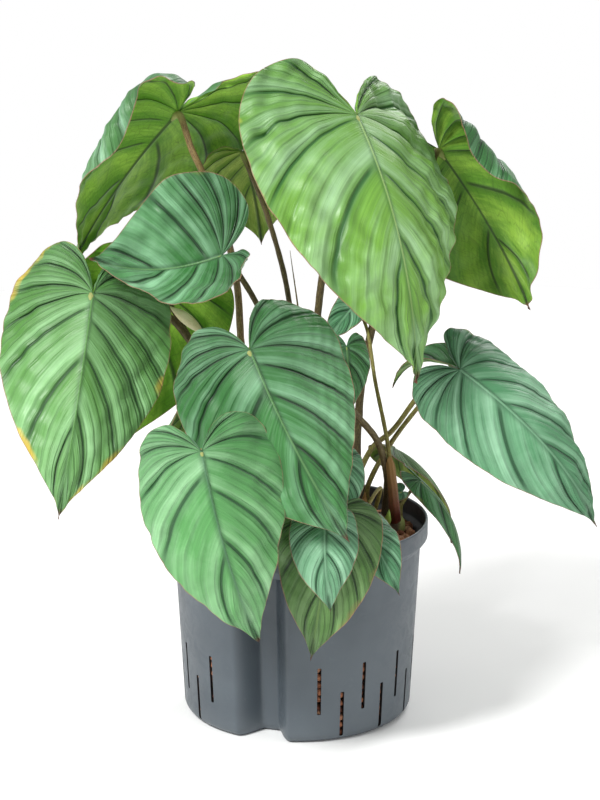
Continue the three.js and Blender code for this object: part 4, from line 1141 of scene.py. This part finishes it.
def granule_core(material):
    """What lies under the top pebbles: a bed that fills the pot up to just below them, dark as painted shade
    in their gaps.
    """
    room = 9
    floor = POT_FLOOR + 1
    top = GRANULE_LEVEL - BED_BELOW
    rows = [(BASE_RADIUS - WALL - room, floor), (body_radius(12) - WALL - room, 12)]
    rows += [(body_radius(z) - WALL - room, z) for z in np.linspace(30, top - 6, 10)]
    rows += [(BODY_TOP_RADIUS - WALL - 3, top - 2)]
    rows += [(r, top + 3 * (1 - (r / BODY_TOP_RADIUS) ** 2)) for r in np.linspace(108, 10, 14)]
    vertices, faces = turned_body((floor, top + 3), [(r, z, 1) for r, z in rows], BED_DIRECTIONS)
    vertices[2:, 2] += 0.8 * wavy(vertices[2:], 5, 9) * (vertices[2:, 2] > 20)
    # A low tone gives the bed the darkest clay colour, painted shade between the top pebbles.
    return mesh_object("granule_bed", vertices, faces, [material], None, None,
                       {"tone": 0.1 + 0.1 * wavy(vertices, 6, 12)})


def make_granules():
    clay = clay_finish()
    settle(pebble_piece("granules_top", *top_pebbles(), clay, 31), "fired_clay", "clay_granules")
    settle(pebble_piece("granules_at_slots", *slot_pebbles(), clay, 37), "fired_clay", "clay_granules")
    settle(granule_core(clay), "fired_clay", "clay_granules")


# ---- rhizome, shoots and sheaths ----


def make_rhizome():
    scars = 9

    def radius_at(share):
        end = min(share, 1 - share) / 0.08
        cap = math.sqrt(max(0.0, 1 - (1 - end) ** 2)) * 0.9 + 0.1 if end < 1 else 1
        ring = 0.06 * math.exp(-(((share * scars) % 1 - 0.5) / 0.09) ** 2)
        return RHIZOME_RADIUS * cap * (0.97 + ring)

    points = [rhizome_point(0), rhizome_point(0.5), rhizome_point(1)]
    piece = round_piece("creeping_stem", points, radius_at, [RHIZOME_BARK], 48, 0.9, 0.05, 77)
    settle(piece, "stem_bark", "rhizome")


def spindle(name, points, radius, fullest, materials, seed):
    """A bud, roll or spike: thin at both ends and fattest at a share of its length."""
    def radius_at(share):
        swell = share / fullest if share < fullest else (1 - share) / (1 - fullest)
        return radius * (0.1 + 0.9 * math.sin(max(0.0, swell) * math.pi / 2))

    return round_piece(name, points, radius_at, materials, 24, 0.8, 0.05, seed)


YOUNG_STALK = [above(-49, -6, 88), above(-76, -14, 150), above(-88, -9, 194)]
YOUNG_ROLL = [above(-104, -10, 208), above(-119, -11, 220)]


def make_shoots():
    bud = [*rhizome_exit(0.68, -67), above(62, -12, 12), above(64, -22, 42)]
    settle(spindle("bud", bud, 5, 0.55, [RED_SHEATH], 81), "sheath", "red_bud")
    shoot = [*rhizome_exit(0.86, -68), above(86, -18, 14), above(87, -26, 26)]
    settle(spindle("shoot", shoot, 3.6, 0.6, [LIME_ROLL], 82), "leaf", "lime_shoot")
    spike = [*rhizome_exit(0.21, 40), above(4, 52, 100), above(3, 50, 180), above(-7, 45, 262)]
    settle(spindle("old_spike", spike, 2.2, 0.15, [DRY_SHEATH], 83), "sheath", "dried_cataphyll")
    young = [*rhizome_exit(0.095, 0), *YOUNG_STALK]
    stalk = round_piece("petiole_young", young, lambda share: 1.7, [THIN_STALK], 16, 2.0, 0.04, 84)
    settle(stalk, "stalk", "stalk_young")
    roll = spindle("young_roll", [YOUNG_STALK[-1], *YOUNG_ROLL], 5.5, 0.5, [CREAM_ROLL_PAINTED_LIGHT], 85)
    settle(roll, "pale_roll", "young_leaf_roll")


CATAPHYLL_ON = "inner_back_small"
CATAPHYLL_FROM, CATAPHYLL_TO = 0.07, 0.36
CATAPHYLL_FOOT, CATAPHYLL_TOP = 6.2, 3.6
CATAPHYLL_HALF_SHEET, CATAPHYLL_LENGTH = 0.3, 60
CATAPHYLL_WRAP = math.radians(150)  # how far it reaches round each side at its foot


def make_cataphyll():
    """The papery sheath round the foot of one stalk, open at the back and drawn out to a free tip."""
    leaf = LEAVES[CATAPHYLL_ON]
    _, normal = joint_frame(leaf)
    end = leaf["base"] - normal * (1 + 1.2 * leaf["radius"][1])
    count = 400
    centres, _ = curve_points([*rhizome_exit(leaf["at"], leaf["lean"]), *leaf["stalk"], end], count)
    tangents = unit(np.gradient(centres, axis=0))
    rows, columns = 40, 24
    sheets = ([], [])
    fields = []
    for i in range(rows + 1):
        share = i / rows
        k = int((CATAPHYLL_FROM + (CATAPHYLL_TO - CATAPHYLL_FROM) * share) * (count - 1))
        along = tangents[k]
        front = unit(np.array([0, -1.0, 0]) - along * -along[1])
        side = np.cross(along, front)
        radius = CATAPHYLL_FOOT + (CATAPHYLL_TOP - CATAPHYLL_FOOT) * share ** 0.6
        half = CATAPHYLL_WRAP * math.sqrt(max(0.0, 1 - share ** 2)) + 0.02
        angles = half * np.linspace(-1, 1, columns + 1)
        ring = np.cos(angles)[:, None] * front + np.sin(angles)[:, None] * side
        crease = 0.25 * np.sin(angles * 7 + share * 5)
        for sheet, offset in zip(sheets, (CATAPHYLL_HALF_SHEET, -CATAPHYLL_HALF_SHEET)):
            sheet.append(centres[k] + ring * (radius + offset + crease)[:, None])
        fields.append(np.stack([np.cos(angles) * radius, np.sin(angles) * radius,
                                np.full(columns + 1, share * CATAPHYLL_LENGTH)], -1))
    width = columns + 1
    vertices = np.vstack([np.vstack(sheet) for sheet in sheets])
    n = width * (rows + 1)
    faces = []
    for i in range(rows):
        for j in range(columns):
            a = i * width + j
            faces.append([a, a + 1, a + width + 1, a + width])
            faces.append([n + a, n + a + width, n + a + width + 1, n + a + 1])
        for a, b in ((i * width, (i + 1) * width), ((i + 2) * width - 1, (i + 1) * width - 1)):
            faces.append([a, b, n + b, n + a])
    for row, turned in ((0, True), (rows, False)):
        for j in range(columns):
            a = row * width + j
            faces.append([a, n + a, n + a + 1, a + 1] if turned else [a, a + 1, n + a + 1, n + a])
    fields = np.vstack(fields)
    piece = mesh_object("sheath", vertices, faces, [RED_SHEATH], None, STEM_CREASE,
                        {"stem_place": np.vstack([fields, fields])})
    settle(piece, "sheath", "cataphyll")


# ---- stage ----


FLOOR_RADIUS = 1.9  # metres; a larger floor turns the white background grey


def make_stage():
    graph = Graph("pale_floor")
    clouds = graph.noise(graph.place(), 3, 2.0)
    graph.finish(graph.mix(graph.ramp(clouds, 0.3, 0.7), "fbfbfa", "fdfdfc"), 0.85)
    radius, corners = FLOOR_RADIUS, 128
    turns = [2 * math.pi * k / corners for k in range(corners)]
    mesh = bpy.data.meshes.new("floor")
    mesh.from_pydata([(radius * math.cos(a), radius * math.sin(a), 0) for a in turns], [], [range(corners)])
    mesh.materials.append(graph.material)
    floor = bpy.data.objects.new("floor", mesh)
    bpy.context.scene.collection.objects.link(floor)


LIGHTS_AIM = (0, 0, 0.33)
PLANT_GLOW = 0.45  # what the world gives the plant; the camera sees it at full white
CAMERA_PLACE = (0.0025, -2.5, 0.970)
CAMERA_LENS = 122.9
CAMERA_TILT = math.radians(75.1)


def area_light(name, place, size, watts):
    data = bpy.data.lights.new(name, "AREA")
    data.shape = "DISK"
    data.size = size
    data.energy = watts
    light = bpy.data.objects.new(name, data)
    light.location = place
    light.rotation_euler = (Vector(LIGHTS_AIM) - Vector(place)).to_track_quat("-Z", "Y").to_euler()
    bpy.context.scene.collection.objects.link(light)


def make_lights():
    area_light("key", (-1.5, -1.5, 2.3), 0.8, 92)
    area_light("fill", (1.9, -1.6, 1.2), 1.6, 12)
    area_light("rim", (0.9, 1.8, 1.9), 1.2, 30)
    world = bpy.data.worlds.new("studio")
    world.use_nodes = True
    tree = world.node_tree
    glow = tree.nodes["Background"]
    backdrop = tree.nodes.new("ShaderNodeBackground")
    for background, strength in ((glow, PLANT_GLOW), (backdrop, 1.0)):
        background.inputs["Color"].default_value = (1.0, 1.0, 1.0, 1.0)
        background.inputs["Strength"].default_value = strength
    seen = tree.nodes.new("ShaderNodeLightPath").outputs["Is Camera Ray"]
    mixed = tree.nodes.new("ShaderNodeMixShader")
    tree.links.new(seen, mixed.inputs[0])
    tree.links.new(glow.outputs[0], mixed.inputs[1])
    tree.links.new(backdrop.outputs[0], mixed.inputs[2])
    tree.links.new(mixed.outputs[0], tree.nodes["World Output"].inputs["Surface"])
    bpy.context.scene.world = world


def make_camera():
    """The photo's camera, from a scratch fit to the pot's outline, rounded."""
    data = bpy.data.cameras.new("camera")
    data.lens = CAMERA_LENS
    data.sensor_width = 36
    camera = bpy.data.objects.new("camera", data)
    camera.location = CAMERA_PLACE
    camera.rotation_euler = (CAMERA_TILT, 0, 0)
    bpy.context.scene.collection.objects.link(camera)
    bpy.context.scene.camera = camera


# ---- the whole plant ----

make_camera()
make_stage()
make_lights()
make_pot()
make_granules()
make_rhizome()
for order, (name, leaf) in enumerate(LEAVES.items()):
    make_blade(order, name, leaf)
    make_stalk(order, name, leaf)
make_shoots()
make_cataphyll()
bpy.context.scene.view_settings.view_transform = "Standard"
